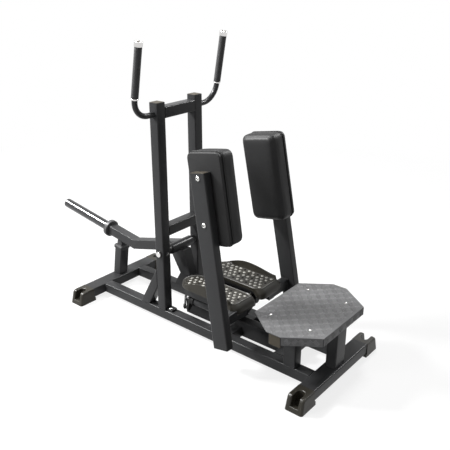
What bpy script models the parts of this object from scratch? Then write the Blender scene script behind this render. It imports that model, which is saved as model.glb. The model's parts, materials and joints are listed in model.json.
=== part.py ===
"""Standing hip abductor machine, built as an assembly of separate pieces.

The frame of the model: +Z is up, z = 0 is the floor, x = 0 is the plane of symmetry and +Y is the
way the user faces. The origin is on the floor under the middle of the bounding box. Lengths are in
metres. "Right" is the user's right, +X. Pieces that move are parented to an empty on their axis.
"""
import math

import bmesh
import bpy
from mathutils import Matrix, Vector

# Clearances and wall thicknesses
GAP = 0.0003
WALL = 0.003

# Square tube of the frame
TUBE = 0.050
TUBE_CORNER = 0.005
FLOOR_CLEARANCE = 0.016
RAIL_TOP = FLOOR_CLEARANCE + TUBE
RAIL_X = 0.120

# Floor crossbars, 75 mm wide and 50 mm high, and their moulded foot caps
CROSSBAR_WIDTH = 0.075
FRONT_BAR_Y = -0.8585
REAR_BAR_Y = 0.4785
FRONT_BAR_HALF = 0.216
REAR_BAR_HALF = 0.2215
CAP_FLOOR_HALF_WIDTH = 0.042
CAP_TOP_HALF_WIDTH = 0.0395
CAP_REACH = 0.312
CAP_TOP_REACH = 0.296

# Centre beam and the members that carry it
BEAM_HEIGHT = 0.080
BEAM_TOP = FLOOR_CLEARANCE + BEAM_HEIGHT
BEAM_FRONT_Y = -0.660
BEAM_REAR_Y = -0.0315
MEMBER_Y = (-0.357, -0.635)

# Uprights
UPRIGHT_Y = 0.023
UPRIGHT_TOP = 1.074
UPPER_MEMBER_Z = 1.027
LOWER_MEMBER_Z = 0.4715

# Handlebars: 25 mm round bar, out of the upright, round a bend and up
BAR_RADIUS = 0.0125
BAR_WALL = 0.002
BAR_SIDES = 12
BAR_Z = 1.024
BAR_X = 0.261
BAR_BEND = 0.083
BAR_SLOPE = -0.178
GRIP_START_Z = 1.114
BAR_TOP_Z = 1.3225
GRIP_RADIUS = 0.0162
GRIP_CAP_RADIUS = 0.0182

# Post under the weight arm, on the rear crossbar
BUMPER_FOOT_Y = 0.482
BUMPER_POST_LENGTH = 0.155
BUMPER_POST_WIDTH = 0.056

# Step at the front
STEP_TOP = 0.277
STEP_THICKNESS = 0.0035
STEP_OUTLINE = ((-0.166, -0.556), (-0.2585, -0.683), (-0.2585, -0.752), (-0.161, -0.889),
                (0.161, -0.889), (0.2585, -0.752), (0.2585, -0.683), (0.166, -0.556))
STEP_SKIRT = 0.038
STEP_TUBE_Y = -0.722
STEP_TUBE_DEPTH = 0.060
STEP_TUBE_HALF = 0.2525
STEP_TUBE_BOTTOM = 0.221
STEP_BOLTS = ((0.140, -0.622), (0.140, -0.815))

# Weight arm: side view points (y, z)
ARM_PIVOT = (0.023, 0.3615)
ARM_BEND = (0.337, 0.2785)
COLLAR_CENTRE = (0.5366, 0.311)
HORN_END_Y = 0.9005
SLEEVE_RADIUS = 0.025
SLEEVE_HALF = 0.070
AXLE_RADIUS = 0.010
COLLAR_RADIUS = 0.045
COLLAR_THICKNESS = 0.020
HORN_RADIUS = 0.025

# Linkage, right side: crank ball and drop arm pin
LEG_AXIS = (0.097, 0.156)
CRANK_BALL = Vector((0.1215, -0.111, 0.1215))
DROP_BALL = Vector((0.034, -0.047, 0.193))
BALL_RADIUS = 0.007
DROP_BALL_RADIUS = 0.0075

# Hinge of each leg
SHAFT_RADIUS = 0.0125
BUSH_BORE = 0.013
BUSH_FLANGE = 0.019
PLATE_THICKNESS = 0.015
REAR_PLATE_Y = -0.160
FRONT_PLATE_Y = -0.3645
BOSS_RADIUS = 0.025
HUB_RADIUS = 0.020

# Tubes that carry each pedal: cross arm and pedal tube, 40 mm wide and 50 mm high
ARM_TOP = 0.234
ARM_FRONT_Y = -0.452
CARRIER_WIDTH = 0.040
PEDAL_TUBE_X = 0.104
PEDAL_TUBE_REAR_Y = -0.112

# Pedal. The deck is tilted, its outer side up. DECK_TOP is its height in the middle. Both pedals have
# a round heel corner on their -X side and a nearly sharp one on their +X side
DECK_TOP = 0.2567
PEDAL_MIDDLE_X = 0.100
PEDAL_TILT = 0.041
PEDAL_INNER_X = 0.0265
PEDAL_OUTER_X = 0.167
PEDAL_HEEL_Y = -0.437
PEDAL_TOE_Y = -0.096
SIDE_DEPTH = 0.015
HEEL_DEPTH = 0.046
HEEL_FLARE = 0.0215
HEEL_LENGTH = 0.045
RIM_HEIGHT = 0.003
RIM_THICKNESS = 0.005
LIP_HEIGHT = 0.018
HUMP_HEIGHT = 0.0192
HEEL_ROUND = 0.034
HEEL_SHARP = 0.008
TOE_RADII = (0.080, 0.054)
HEEL_PEAK = 0.012

# Lever and thigh pad: the point on the lever's inner face at the pad's height, and the slopes
PAD_POINT = Vector((0.2275, -0.351, 0.745))
LEVER_INWARD = 0.0244
LEVER_LEAN = 0.1808
LEVER_WIDTH = 0.040
LEVER_DEPTH = 0.078
LEVER_BOTTOM_Z = 0.109
LEVER_TOP_Z = 0.860
PAD_LENGTH = 0.395
PAD_WIDTH = 0.184
PAD_OFFSET_Y = -0.007
BOARD_THICKNESS = 0.018
CUSHION_THICKNESS = 0.081
CUSHION_EDGE = 0.041
CUSHION_CORNER = 0.028
SEAM_DEPTH = 0.021
PAD_BOLT_Z = (0.840, 0.651)

X_AXIS = Vector((1, 0, 0))
Y_AXIS = Vector((0, 1, 0))
Z_AXIS = Vector((0, 0, 1))


for old in list(bpy.data.objects):
    bpy.data.objects.remove(old)


# Materials

def make_material(name, colour, roughness, metallic):
    material = bpy.data.materials.new(name)
    material.use_nodes = True
    shader = material.node_tree.nodes["Principled BSDF"]
    shader.inputs["Base Color"].default_value = (*colour, 1.0)
    shader.inputs["Roughness"].default_value = roughness
    shader.inputs["Metallic"].default_value = metallic
    material.diffuse_color = (*colour, 1.0)
    return material


PAINT = make_material("charcoal_paint", (0.035, 0.036, 0.038), 0.45, 0.3)
CHROME = make_material("chrome", (0.75, 0.75, 0.76), 0.12, 1.0)
GREY = make_material("grey_paint", (0.21, 0.21, 0.22), 0.5, 0.2)
TREAD = make_material("tread_plate", (0.16, 0.16, 0.17), 0.5, 0.3)
MOULDING = make_material("brown_black_moulding", (0.028, 0.025, 0.022), 0.55, 0.0)
RUBBER = make_material("black_rubber", (0.015, 0.015, 0.016), 0.7, 0.0)
VINYL = make_material("black_vinyl", (0.022, 0.022, 0.023), 0.5, 0.0)
BOARD = make_material("pad_board", (0.02, 0.019, 0.018), 0.6, 0.0)
STEEL = make_material("machined_steel", (0.35, 0.35, 0.36), 0.35, 1.0)


# Outlines and paths

def arc(centre, radius, start_deg, end_deg, steps):
    """Points (a, b) on an arc, both ends included."""
    angles = [math.radians(start_deg + (end_deg - start_deg) * i / steps) for i in range(steps + 1)]
    return [(centre[0] + radius * math.cos(a), centre[1] + radius * math.sin(a)) for a in angles]


def circle(radius, sides):
    """Points (a, b) once round a circle."""
    return arc((0, 0), radius, 0, 360 * (sides - 1) / sides, sides - 1)


def rounded_rectangle(low, high, radii, steps=3):
    """Outline with a round corner at each of its four corners, anticlockwise from low a, low b.

    radii are those of the corners (low, low), (high, low), (high, high) and (low, high).
    """
    centres = ((low[0] + radii[0], low[1] + radii[0]), (high[0] - radii[1], low[1] + radii[1]),
               (high[0] - radii[2], high[1] - radii[2]), (low[0] + radii[3], high[1] - radii[3]))
    points = []
    for corner, centre in enumerate(centres):
        start = 180 + 90 * corner
        points += arc(centre, radii[corner], start, start + 90, steps)
    return points


def centred_rectangle(width, depth, radius, steps=3):
    """Rounded rectangle about the origin."""
    return rounded_rectangle((-width / 2, -depth / 2), (width / 2, depth / 2), (radius,) * 4, steps)


def rounded_path(points, radius, steps):
    """Polyline through the points, with each inner corner turned into an arc."""
    path = [points[0]]
    for before, corner, after in zip(points, points[1:], points[2:]):
        to_before = (before - corner).normalized()
        to_after = (after - corner).normalized()
        half = to_before.angle(to_after) / 2
        centre = corner + (to_before + to_after).normalized() * radius / math.sin(half)
        start = corner + to_before * radius / math.tan(half) - centre
        end = corner + to_after * radius / math.tan(half) - centre
        for i in range(steps + 1):
            path.append(centre + start.slerp(end, i / steps) * radius)
    path.append(points[-1])
    return path


def at_side_view(point, x=0.0):
    """A side view point (y, z) in space."""
    return Vector((x, point[0], point[1]))


def spans(centre, size):
    """Low and high ends of a size about its centre."""
    return (centre - size / 2, centre + size / 2)


# Solids as bmeshes in world coordinates

def loft(rings, closed=False):
    """Skin through rings of equal length. A closed loft joins the last ring to the first."""
    bm = bmesh.new()
    layers = [[bm.verts.new(point) for point in ring] for ring in rings]
    pairs = list(zip(layers, layers[1:]))
    if closed:
        pairs.append((layers[-1], layers[0]))
    else:
        bm.faces.new(reversed(layers[0]))
        bm.faces.new(layers[-1])
    for low, high in pairs:
        count = len(low)
        for i in range(count):
            bm.faces.new((low[i], low[(i + 1) % count], high[(i + 1) % count], high[i]))
    bmesh.ops.recalc_face_normals(bm, faces=bm.faces)
    return bm


def prism(outline, axis, low, high):
    """Outline extruded along X, Y or Z. Its pairs are the two other coordinates, in order."""
    def place(point, along):
        values = list(point)
        values.insert("XYZ".index(axis), along)
        return Vector(values)
    return loft([[place(p, low) for p in outline], [place(p, high) for p in outline]])


def box(low, high, bevel=0.0, steps=2):
    """Box between two corners, with its edges rounded by bevel."""
    bm = bmesh.new()
    bmesh.ops.create_cube(bm, size=1.0)
    size = [b - a for a, b in zip(low, high)]
    middle = Vector([(a + b) / 2 for a, b in zip(low, high)])
    bmesh.ops.scale(bm, vec=size, verts=bm.verts)
    bmesh.ops.translate(bm, vec=middle, verts=bm.verts)
    if bevel:
        bmesh.ops.bevel(bm, geom=bm.edges, offset=bevel, segments=steps, affect="EDGES", profile=0.5)
    return bm


def swept_rings(path, side, outline, cuts=(None, None)):
    """The outline at each path point, mitred at bends. cuts are the normals of the end planes."""
    rings = []
    for i, point in enumerate(path):
        along = (path[min(i + 1, len(path) - 1)] - path[max(i, 1) - 1 if i == len(path) - 1 else i])
        along = along.normalized()
        width_axis = (side - along * side.dot(along)).normalized()
        depth_axis = along.cross(width_axis)
        if i == 0:
            plane = cuts[0] or along
        elif i == len(path) - 1:
            plane = cuts[1] or along
        else:
            plane = along + (point - path[i - 1]).normalized()
        ring = []
        for a, b in outline:
            offset = width_axis * a + depth_axis * b
            ring.append(point + offset - along * offset.dot(plane) / along.dot(plane))
        rings.append(ring)
    return rings


def tube(path, side, width, depth, cuts=(None, None), wall=WALL):
    """Hollow rectangular tube along the path, open at both ends."""
    outer = centred_rectangle(width, depth, TUBE_CORNER, 2)
    inner = centred_rectangle(width - 2 * wall, depth - 2 * wall, TUBE_CORNER - wall, 2)
    outside = swept_rings(path, side, outer, cuts)
    inside = swept_rings(path, side, inner, cuts)
    return loft(outside + inside[::-1], closed=True)


def straight_tube(axis, low, high, width, depth):
    """Square tube along an axis; width and depth are its spans (low, high) on the other axes."""
    order = "XYZ".index(axis)
    centre = [sum(width) / 2, sum(depth) / 2]
    start = list(centre)
    start.insert(order, low)
    end = list(centre)
    end.insert(order, high)
    side = [Y_AXIS, X_AXIS, X_AXIS][order]
    return tube([Vector(start), Vector(end)], side, width[1] - width[0], depth[1] - depth[0])


def turned(profile, base, axis, sides, closed=False):
    """Profile of (radius, height) pairs turned round an axis through base.

    A closed profile makes a ring; an open one starts and ends on the axis or with a flat end.
    """
    spin = axis.normalized().to_track_quat("Z", "Y").to_matrix()
    rings = []
    for radius, height in profile:
        ring = [base + spin @ Vector((a, b, height)) for a, b in circle(radius, sides)]
        rings.append(ring)
    return loft(rings, closed)


def rod(start, end, radius, sides=16):
    """Plain round bar."""
    return turned(((radius, 0), (radius, (end - start).length)), start, end - start, sides)


def ring(centre, axis, inner, outer, half, sides=20):
    """Flat ring about a centre."""
    return turned(((outer, -half), (outer, half), (inner, half), (inner, -half)), centre, axis, sides, True)


def ball(centre, radius):
    bm = bmesh.new()
    bmesh.ops.create_uvsphere(bm, u_segments=12, v_segments=8, radius=radius)
    bmesh.ops.translate(bm, vec=centre, verts=bm.verts)
    return bm


def button_bolt(seat, axis, head_radius, head_height, shank_radius, shank_length):
    """Domed head on a seat, its shank running back along the axis."""
    shoulder = head_height * 0.45
    profile = ((shank_radius, -shank_length), (shank_radius, GAP), (head_radius, GAP),
               (head_radius, GAP + shoulder), (head_radius * 0.8, head_height * 0.85),
               (head_radius * 0.4, head_height))
    return turned(profile, seat, axis, 16)


def mirrored(bm):
    """The same solid on the other side of x = 0."""
    copy = bm.copy()
    bmesh.ops.scale(copy, vec=(-1, 1, 1), verts=copy.verts)
    bmesh.ops.reverse_faces(copy, faces=copy.faces)
    return copy


def on_side(side, bm):
    return bm if side > 0 else mirrored(bm)


# Objects

def link(name, bm, pivot):
    mesh = bpy.data.meshes.new(name)
    bm.to_mesh(mesh)
    obj = bpy.data.objects.new(name, mesh)
    bpy.context.scene.collection.objects.link(obj)
    if pivot:
        mesh.transform(Matrix.Translation(-pivot.location))
        obj.parent = pivot
    return obj


def piece(name, material, solid, pivot=None, add=(), cut=(), sharp_deg=35):
    """One node: a solid, with more solids joined on to it and others cut away."""
    obj = link(name, solid, pivot)
    for operation, tools in (("UNION", add), ("DIFFERENCE", cut)):
        for number, tool in enumerate(tools):
            cutter = link("%s_%s_%d" % (name, operation.lower(), number), tool, pivot)
            cutter.hide_render = True
            cutter.display_type = "WIRE"
            modifier = obj.modifiers.new(operation.title(), "BOOLEAN")
            modifier.operation = operation
            modifier.solver = "EXACT"
            modifier.object = cutter
    obj.data.materials.append(material)
    obj.data.shade_smooth()
    obj.data.set_sharp_from_angle(angle=math.radians(sharp_deg))
    return obj


SIDES = (("right", 1), ("left", -1))


def pair(name, material, solid, add=(), cut=(), sharp_deg=35):
    """A right piece, as given, and its mirror image on the left."""
    for label, side in SIDES:
        piece(label + "_" + name, material, on_side(side, solid), add=[on_side(side, tool) for tool in add],
              cut=[on_side(side, tool) for tool in cut], sharp_deg=sharp_deg)


def pivot_empty(name, location):
    empty = bpy.data.objects.new(name, None)
    empty.empty_display_size = 0.05
    empty.location = location
    bpy.context.scene.collection.objects.link(empty)
    return empty


# Floor frame

def make_rails():
    low = FRONT_BAR_Y + CROSSBAR_WIDTH / 2 + GAP
    high = REAR_BAR_Y - CROSSBAR_WIDTH / 2 - GAP
    rail = straight_tube("Y", low, high, spans(RAIL_X, TUBE), (FLOOR_CLEARANCE, RAIL_TOP))
    block_top = RAIL_TOP + 0.010
    stop_block = box((0.100, -0.038, RAIL_TOP - 0.001), (0.135, -0.005, block_top), 0.002)
    bolt = button_bolt(Vector((0.1256, -0.020, block_top)), Z_AXIS, 0.0075, 0.005, 0.004, 0.002)
    pair("rail", PAINT, rail, add=[stop_block, bolt])


def make_crossbars():
    for name, y, half in (("front_crossbar", FRONT_BAR_Y, FRONT_BAR_HALF),
                          ("rear_crossbar", REAR_BAR_Y, REAR_BAR_HALF)):
        bar = straight_tube("X", -half, half, spans(y, CROSSBAR_WIDTH), (FLOOR_CLEARANCE, RAIL_TOP))
        piece(name, PAINT, bar)


def foot_cap(bar_half):
    """Moulded cap for the +X end of a crossbar centred on y = 0: body, tube insert and recess."""
    step_x = bar_half - 0.006
    block = prism([(step_x, 0), (CAP_REACH, 0), (CAP_TOP_REACH, RAIL_TOP), (bar_half + GAP, RAIL_TOP),
                   (bar_half + GAP, FLOOR_CLEARANCE - GAP), (step_x, FLOOR_CLEARANCE - GAP)],
                  "Y", -CAP_FLOOR_HALF_WIDTH, CAP_FLOOR_HALF_WIDTH)
    for vert in block.verts:
        narrowing = (CAP_FLOOR_HALF_WIDTH - CAP_TOP_HALF_WIDTH) * vert.co.z / RAIL_TOP
        vert.co.y -= math.copysign(narrowing, vert.co.y)
    outer_edges = [edge for edge in block.edges
                   if abs(abs((edge.verts[0].co - edge.verts[1].co).normalized().y)) < 0.5
                   and min(v.co.x for v in edge.verts) > CAP_TOP_REACH - GAP]
    bmesh.ops.bevel(block, geom=outer_edges, offset=0.010, segments=3, affect="EDGES", profile=0.5)
    insert_half = CROSSBAR_WIDTH / 2 - WALL - GAP
    insert = box((bar_half - 0.018, -insert_half, FLOOR_CLEARANCE + WALL + GAP),
                 (bar_half + 0.004, insert_half, RAIL_TOP - WALL - GAP), 0.0016, 1)
    ledge_z = 0.020
    arch_half = 0.0175
    arch_x = bar_half + 0.045
    recess = prism(arc((arch_x, 0), arch_half, 90, 270, 8) + [(CAP_REACH + 0.02, -arch_half),
                   (CAP_REACH + 0.02, arch_half)], "Z", ledge_z, RAIL_TOP + 0.01)
    hole = rod(Vector((arch_x + 0.016, 0, -0.01)), Vector((arch_x + 0.016, 0, ledge_z + 0.01)), 0.0055, 12)
    return block, insert, recess, hole


def make_foot_caps():
    places = (("front_right_foot_cap", 1, FRONT_BAR_Y, FRONT_BAR_HALF),
              ("front_left_foot_cap", -1, FRONT_BAR_Y, FRONT_BAR_HALF),
              ("rear_right_foot_cap", 1, REAR_BAR_Y, REAR_BAR_HALF),
              ("rear_left_foot_cap", -1, REAR_BAR_Y, REAR_BAR_HALF))
    for name, side, y, half in places:
        solids = [on_side(side, solid) for solid in foot_cap(half)]
        for solid in solids:
            bmesh.ops.translate(solid, vec=(0, y, 0), verts=solid.verts)
        block, insert, recess, hole = solids
        piece(name, MOULDING, block, add=[insert], cut=[recess, hole])


def make_centre_beam():
    """Beam with its end plugs, a drain hole and the two pairs of short members that join it to the rails."""
    beam = straight_tube("Y", BEAM_FRONT_Y, BEAM_REAR_Y, (-TUBE / 2, TUBE / 2), (FLOOR_CLEARANCE, BEAM_TOP))
    inner_x = TUBE / 2 - WALL / 2
    outer_x = RAIL_X - TUBE / 2 - GAP
    middle = FLOOR_CLEARANCE + BEAM_HEIGHT / 2
    welded = [fixed_plug(Vector((0, y, middle)), outward, X_AXIS, TUBE, BEAM_HEIGHT)
              for y, outward in ((BEAM_REAR_Y, Y_AXIS), (BEAM_FRONT_Y, -Y_AXIS))]
    for y in MEMBER_Y:
        half = straight_tube("X", inner_x, outer_x, spans(y, TUBE), (FLOOR_CLEARANCE, RAIL_TOP))
        welded += [half, mirrored(half)]
    drain = Vector((0, (BEAM_FRONT_Y + BEAM_REAR_Y) / 2, FLOOR_CLEARANCE))
    hole = rod(drain - Z_AXIS * 0.01, drain + Z_AXIS * 0.01, 0.005, 12)
    piece("center_beam", PAINT, beam, add=welded, cut=[hole])


# Uprights and handlebars

def make_uprights():
    """Uprights, each with its axle hole, lock bolt and top plug, and the members between them."""
    y, z = ARM_PIVOT
    post = straight_tube("Z", RAIL_TOP + GAP, UPRIGHT_TOP, spans(RAIL_X, TUBE), spans(UPRIGHT_Y, TUBE))
    hole = rod(Vector((RAIL_X - TUBE, y, z)), Vector((RAIL_X + TUBE, y, z)), AXLE_RADIUS + GAP, 24)
    lock_seat = Vector((0.117, UPRIGHT_Y - TUBE / 2, 0.358))
    lock_bolt = button_bolt(lock_seat, -Y_AXIS, 0.011, 0.007, 0.004, 0.002)
    pair("upright", PAINT, post, add=[lock_bolt], cut=[hole])
    mouth = TUBE - 2 * WALL - 2 * GAP
    plug = tube_plug(Vector((RAIL_X, UPRIGHT_Y, UPRIGHT_TOP)), Z_AXIS, X_AXIS, mouth, mouth)
    pair("upright_plug", MOULDING, plug)
    half = RAIL_X - TUBE / 2 - GAP
    for name, level in (("upper_crossmember", UPPER_MEMBER_Z), ("lower_crossmember", LOWER_MEMBER_Z)):
        piece(name, PAINT, straight_tube("X", -half, half, spans(UPRIGHT_Y, TUBE), spans(level, TUBE)))


def make_braces():
    """Slanted tube from each rail's top to the back of its upright."""
    foot = Vector((RAIL_X, 0.137, RAIL_TOP + GAP))
    head = Vector((RAIL_X, UPRIGHT_Y + TUBE / 2 + GAP, 0.226))
    pair("rear_brace", PAINT, tube([foot, head], X_AXIS, TUBE, TUBE, (Z_AXIS, Y_AXIS)))


def bar_point(z):
    """Point at height z on the raised part of the right handlebar's centre line."""
    return Vector((BAR_X, UPRIGHT_Y + BAR_SLOPE * (z - BAR_Z), z))


def make_handlebars():
    start = Vector((RAIL_X + TUBE / 2 + GAP, UPRIGHT_Y, BAR_Z))
    corner = Vector((BAR_X, UPRIGHT_Y, BAR_Z))
    top = bar_point(BAR_TOP_Z)
    path = rounded_path([start, corner, top], BAR_BEND, 6)
    outside = swept_rings(path, Y_AXIS, circle(BAR_RADIUS, BAR_SIDES))
    inside = swept_rings(path, Y_AXIS, circle(BAR_RADIUS - BAR_WALL, BAR_SIDES))
    up = (top - corner).normalized()
    bore = BAR_RADIUS + GAP
    grip_start = bar_point(GRIP_START_Z)
    bar = loft(outside + inside[::-1], closed=True)
    collar = turned(((BAR_RADIUS - 0.0005, -0.0065), (0.0158, -0.0065), (0.0165, -0.0055), (0.0165, -0.0013),
                     (0.0158, -GAP), (BAR_RADIUS - 0.0005, -GAP)), grip_start, up, 20, True)
    pair("handlebar", PAINT, bar, add=[collar], sharp_deg=40)
    length = (top - grip_start).length - GAP
    grip = turned(((bore, 0), (GRIP_RADIUS - 0.001, 0), (GRIP_RADIUS, 0.001), (GRIP_RADIUS, length - 0.001),
                   (GRIP_RADIUS - 0.001, length), (bore, length)), grip_start, up, 20, True)
    pair("grip", RUBBER, grip)
    plug = (BAR_RADIUS - BAR_WALL) * math.cos(math.pi / BAR_SIDES) - GAP
    cap = turned(((plug, -0.012), (plug, GAP), (GRIP_CAP_RADIUS, GAP), (GRIP_CAP_RADIUS, 0.0190),
                  (0.0170, 0.0210), (0.0130, 0.0216)), top, up, 20)
    pair("grip_cap", CHROME, cap)


# Bumper, axle and small fittings

def arm_underside(y):
    """Height of the weight arm's lower face at rest, behind its bend."""
    slope = (COLLAR_CENTRE[1] - ARM_BEND[1]) / (COLLAR_CENTRE[0] - ARM_BEND[0])
    return ARM_BEND[1] + slope * (y - ARM_BEND[0]) - TUBE / 2 * math.hypot(1, slope)


def make_bumper():
    """Post and rubber stop, both square to the weight arm that rests on them."""
    slope = (COLLAR_CENTRE[1] - ARM_BEND[1]) / (COLLAR_CENTRE[0] - ARM_BEND[0])
    up = Vector((0, -slope, 1)).normalized()
    across = Vector((0, up.z, -up.y))
    foot = Vector((0, BUMPER_FOOT_Y, RAIL_TOP + GAP))
    head = foot + up * BUMPER_POST_LENGTH
    post = tube([foot, head], X_AXIS, BUMPER_POST_WIDTH, TUBE, (Z_AXIS, None))
    piece("bumper_post", PAINT, post)
    to_arm = (arm_underside(foot.y) - foot.z) / (up.z - slope * up.y) - BUMPER_POST_LENGTH
    levels = ((GAP, 0.030, 0.027, 0.006), (0.004, 0.033, 0.030, 0.008), (0.016, 0.033, 0.030, 0.008),
              (0.021, 0.029, 0.026, 0.008), (0.0215, 0.022, 0.020, 0.007),
              (to_arm - 0.005, 0.021, 0.019, 0.007), (to_arm - 2 * GAP, 0.017, 0.015, 0.005))
    rings = []
    for height, half_x, half_y, radius in levels:
        outline = rounded_rectangle((-half_x, -half_y), (half_x, half_y), (radius,) * 4)
        rings.append([head + X_AXIS * x + across * y + up * height for x, y in outline])
    piece("rubber_bumper", RUBBER, loft(rings))


def make_axle():
    """Axle through both uprights, with its heads, their washers, and a spacer beside the sleeve."""
    face = RAIL_X + TUBE / 2
    washer = face + GAP
    head = washer + 0.0025
    spacer_in = SLEEVE_HALF + GAP
    spacer_out = face - TUBE - GAP
    half = [(AXLE_RADIUS, spacer_in), (0.021, spacer_in), (0.021, spacer_out), (AXLE_RADIUS, spacer_out),
            (AXLE_RADIUS, washer), (0.020, washer), (0.020, head), (0.015, head), (0.015, head + 0.005),
            (0.012, head + 0.007)]
    profile = [(radius, -along) for radius, along in reversed(half)] + half
    piece("arm_axle", CHROME, turned(profile, at_side_view(ARM_PIVOT), X_AXIS, 18))


def tube_plug(centre, axis, side, width, depth):
    """Plastic plug that fills the mouth of a tube and stands 1.5 mm proud of it."""
    path = [centre - axis * 0.012, centre + axis * 0.0008, centre + axis * 0.0015]
    rings = swept_rings(path[:2], side, centred_rectangle(width, depth, 0.0015, 1))
    rings += swept_rings(path[1:], side, centred_rectangle(width - 0.003, depth - 0.003, 0.001, 1))[1:]
    return loft(rings)


def fixed_plug(centre, axis, side, width, depth):
    """Plug that is part of its tube, sunk half a wall deep into it."""
    return tube_plug(centre, axis, side, width - WALL, depth - WALL)


# Step

def offset_outline(points, distance):
    """Open polyline moved sideways by distance, with mitred corners."""
    moved = []
    for i, point in enumerate(points):
        here = Vector(point)
        before = (here - Vector(points[i - 1])).normalized() if i else None
        after = (Vector(points[i + 1]) - here).normalized() if i < len(points) - 1 else None
        first = before or after
        last = after or before
        normal_a = Vector((-first.y, first.x))
        normal_b = Vector((-last.y, last.x))
        mitre = normal_a + normal_b
        moved.append(tuple(here + mitre * (distance / mitre.dot(normal_a))))
    return moved


def make_step():
    bottom = STEP_TOP - STEP_THICKNESS
    plate = prism(STEP_OUTLINE, "Z", bottom, STEP_TOP)
    front = STEP_OUTLINE[2:6]
    outer = offset_outline(front, GAP)
    inner = offset_outline(front, STEP_THICKNESS)
    skirt = prism(outer + inner[::-1], "Z", STEP_TOP - STEP_SKIRT, bottom + STEP_THICKNESS / 2)
    holes = []
    for x, y in STEP_BOLTS:
        hole = rod(Vector((x, y, bottom - 0.01)), Vector((x, y, STEP_TOP + 0.01)), 0.0045, 12)
        holes += [hole, mirrored(hole)]
    piece("step_plate", TREAD, plate, add=[skirt], cut=holes)

    numbered = [(x * side, y) for x, y in STEP_BOLTS for _, side in SIDES]
    for number, (x, y) in enumerate(numbered, 1):
        bolt = button_bolt(Vector((x, y, STEP_TOP)), Z_AXIS, 0.0095, 0.0045, 0.004, 0.024)
        piece("step_bolt_%d" % number, CHROME, bolt)


def make_step_supports():
    """Cross tube under the plate with its plugs, bolt ears and the two posts that stand on the rails."""
    top = STEP_TOP - STEP_THICKNESS - GAP
    half_depth = STEP_TUBE_DEPTH / 2
    height = top - STEP_TUBE_BOTTOM
    cross = straight_tube("X", -STEP_TUBE_HALF, STEP_TUBE_HALF, spans(STEP_TUBE_Y, STEP_TUBE_DEPTH),
                          (STEP_TUBE_BOTTOM, top))
    plug = fixed_plug(Vector((STEP_TUBE_HALF, STEP_TUBE_Y, STEP_TUBE_BOTTOM + height / 2)), X_AXIS, Y_AXIS,
                      STEP_TUBE_DEPTH, height)
    post = straight_tube("Z", RAIL_TOP + GAP, STEP_TUBE_BOTTOM + WALL / 2, spans(RAIL_X, TUBE),
                         spans(STEP_TUBE_Y, STEP_TUBE_DEPTH))
    welded = [plug, mirrored(plug), post, mirrored(post)]
    vent = Vector((RAIL_X, STEP_TUBE_Y, STEP_TUBE_BOTTOM))
    holes = [rod(vent - Z_AXIS * 0.01, vent + Z_AXIS * 0.01, 0.006, 12)]
    for x, y in STEP_BOLTS:
        direction = 1 if y > STEP_TUBE_Y else -1
        near = STEP_TUBE_Y + direction * (half_depth - 0.002)
        far = y + direction * 0.016
        ear = box((x - 0.018, min(near, far), top - 0.010), (x + 0.018, max(near, far), top - 0.004))
        hole = rod(Vector((x, y, top - 0.02)), Vector((x, y, top + 0.001)), 0.0045, 12)
        welded += [ear, mirrored(ear)]
        holes += [hole, mirrored(hole)]
    piece("step_support", PAINT, cross, add=welded, cut=holes)
    front_post = straight_tube("Z", RAIL_TOP + GAP, top, spans(0, 0.075), spans(FRONT_BAR_Y, TUBE))
    piece("front_step_post", PAINT, front_post)


# Leg hinges on the centre beam

def make_hinge_brackets():
    """Two wing-shaped plates across the beam, each with a pressed-in flanged bush for each leg."""
    x, z = LEG_AXIS
    right = arc((x, z), BOSS_RADIUS, -60, 130, 10)
    left = [(-a, b) for a, b in reversed(right)]
    base = BEAM_TOP + GAP
    foot = TUBE / 2
    outline = [(foot, base)] + right + [(0.034, 0.128), (-0.034, 0.128)] + left + [(-foot, base)]
    flange = 0.003
    for name, y, outward in (("rear_hinge_bracket", REAR_PLATE_Y, 1),
                             ("front_hinge_bracket", FRONT_PLATE_Y, -1)):
        plate = prism(outline, "Y", y, y + PLATE_THICKNESS)
        face = y + PLATE_THICKNESS if outward > 0 else y
        rim_start = Vector((x, face - outward * 0.001, z))
        rim_end = Vector((x, face + outward * flange, z))
        rim = rod(rim_start, rim_end, BUSH_FLANGE, 32)
        bore = rod(Vector((x, y - 0.01, z)), Vector((x, y + PLATE_THICKNESS + 0.01, z)), BUSH_BORE, 32)
        piece(name, PAINT, plate, add=[rim, mirrored(rim)], cut=[bore, mirrored(bore)])


# Weight arm

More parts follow.
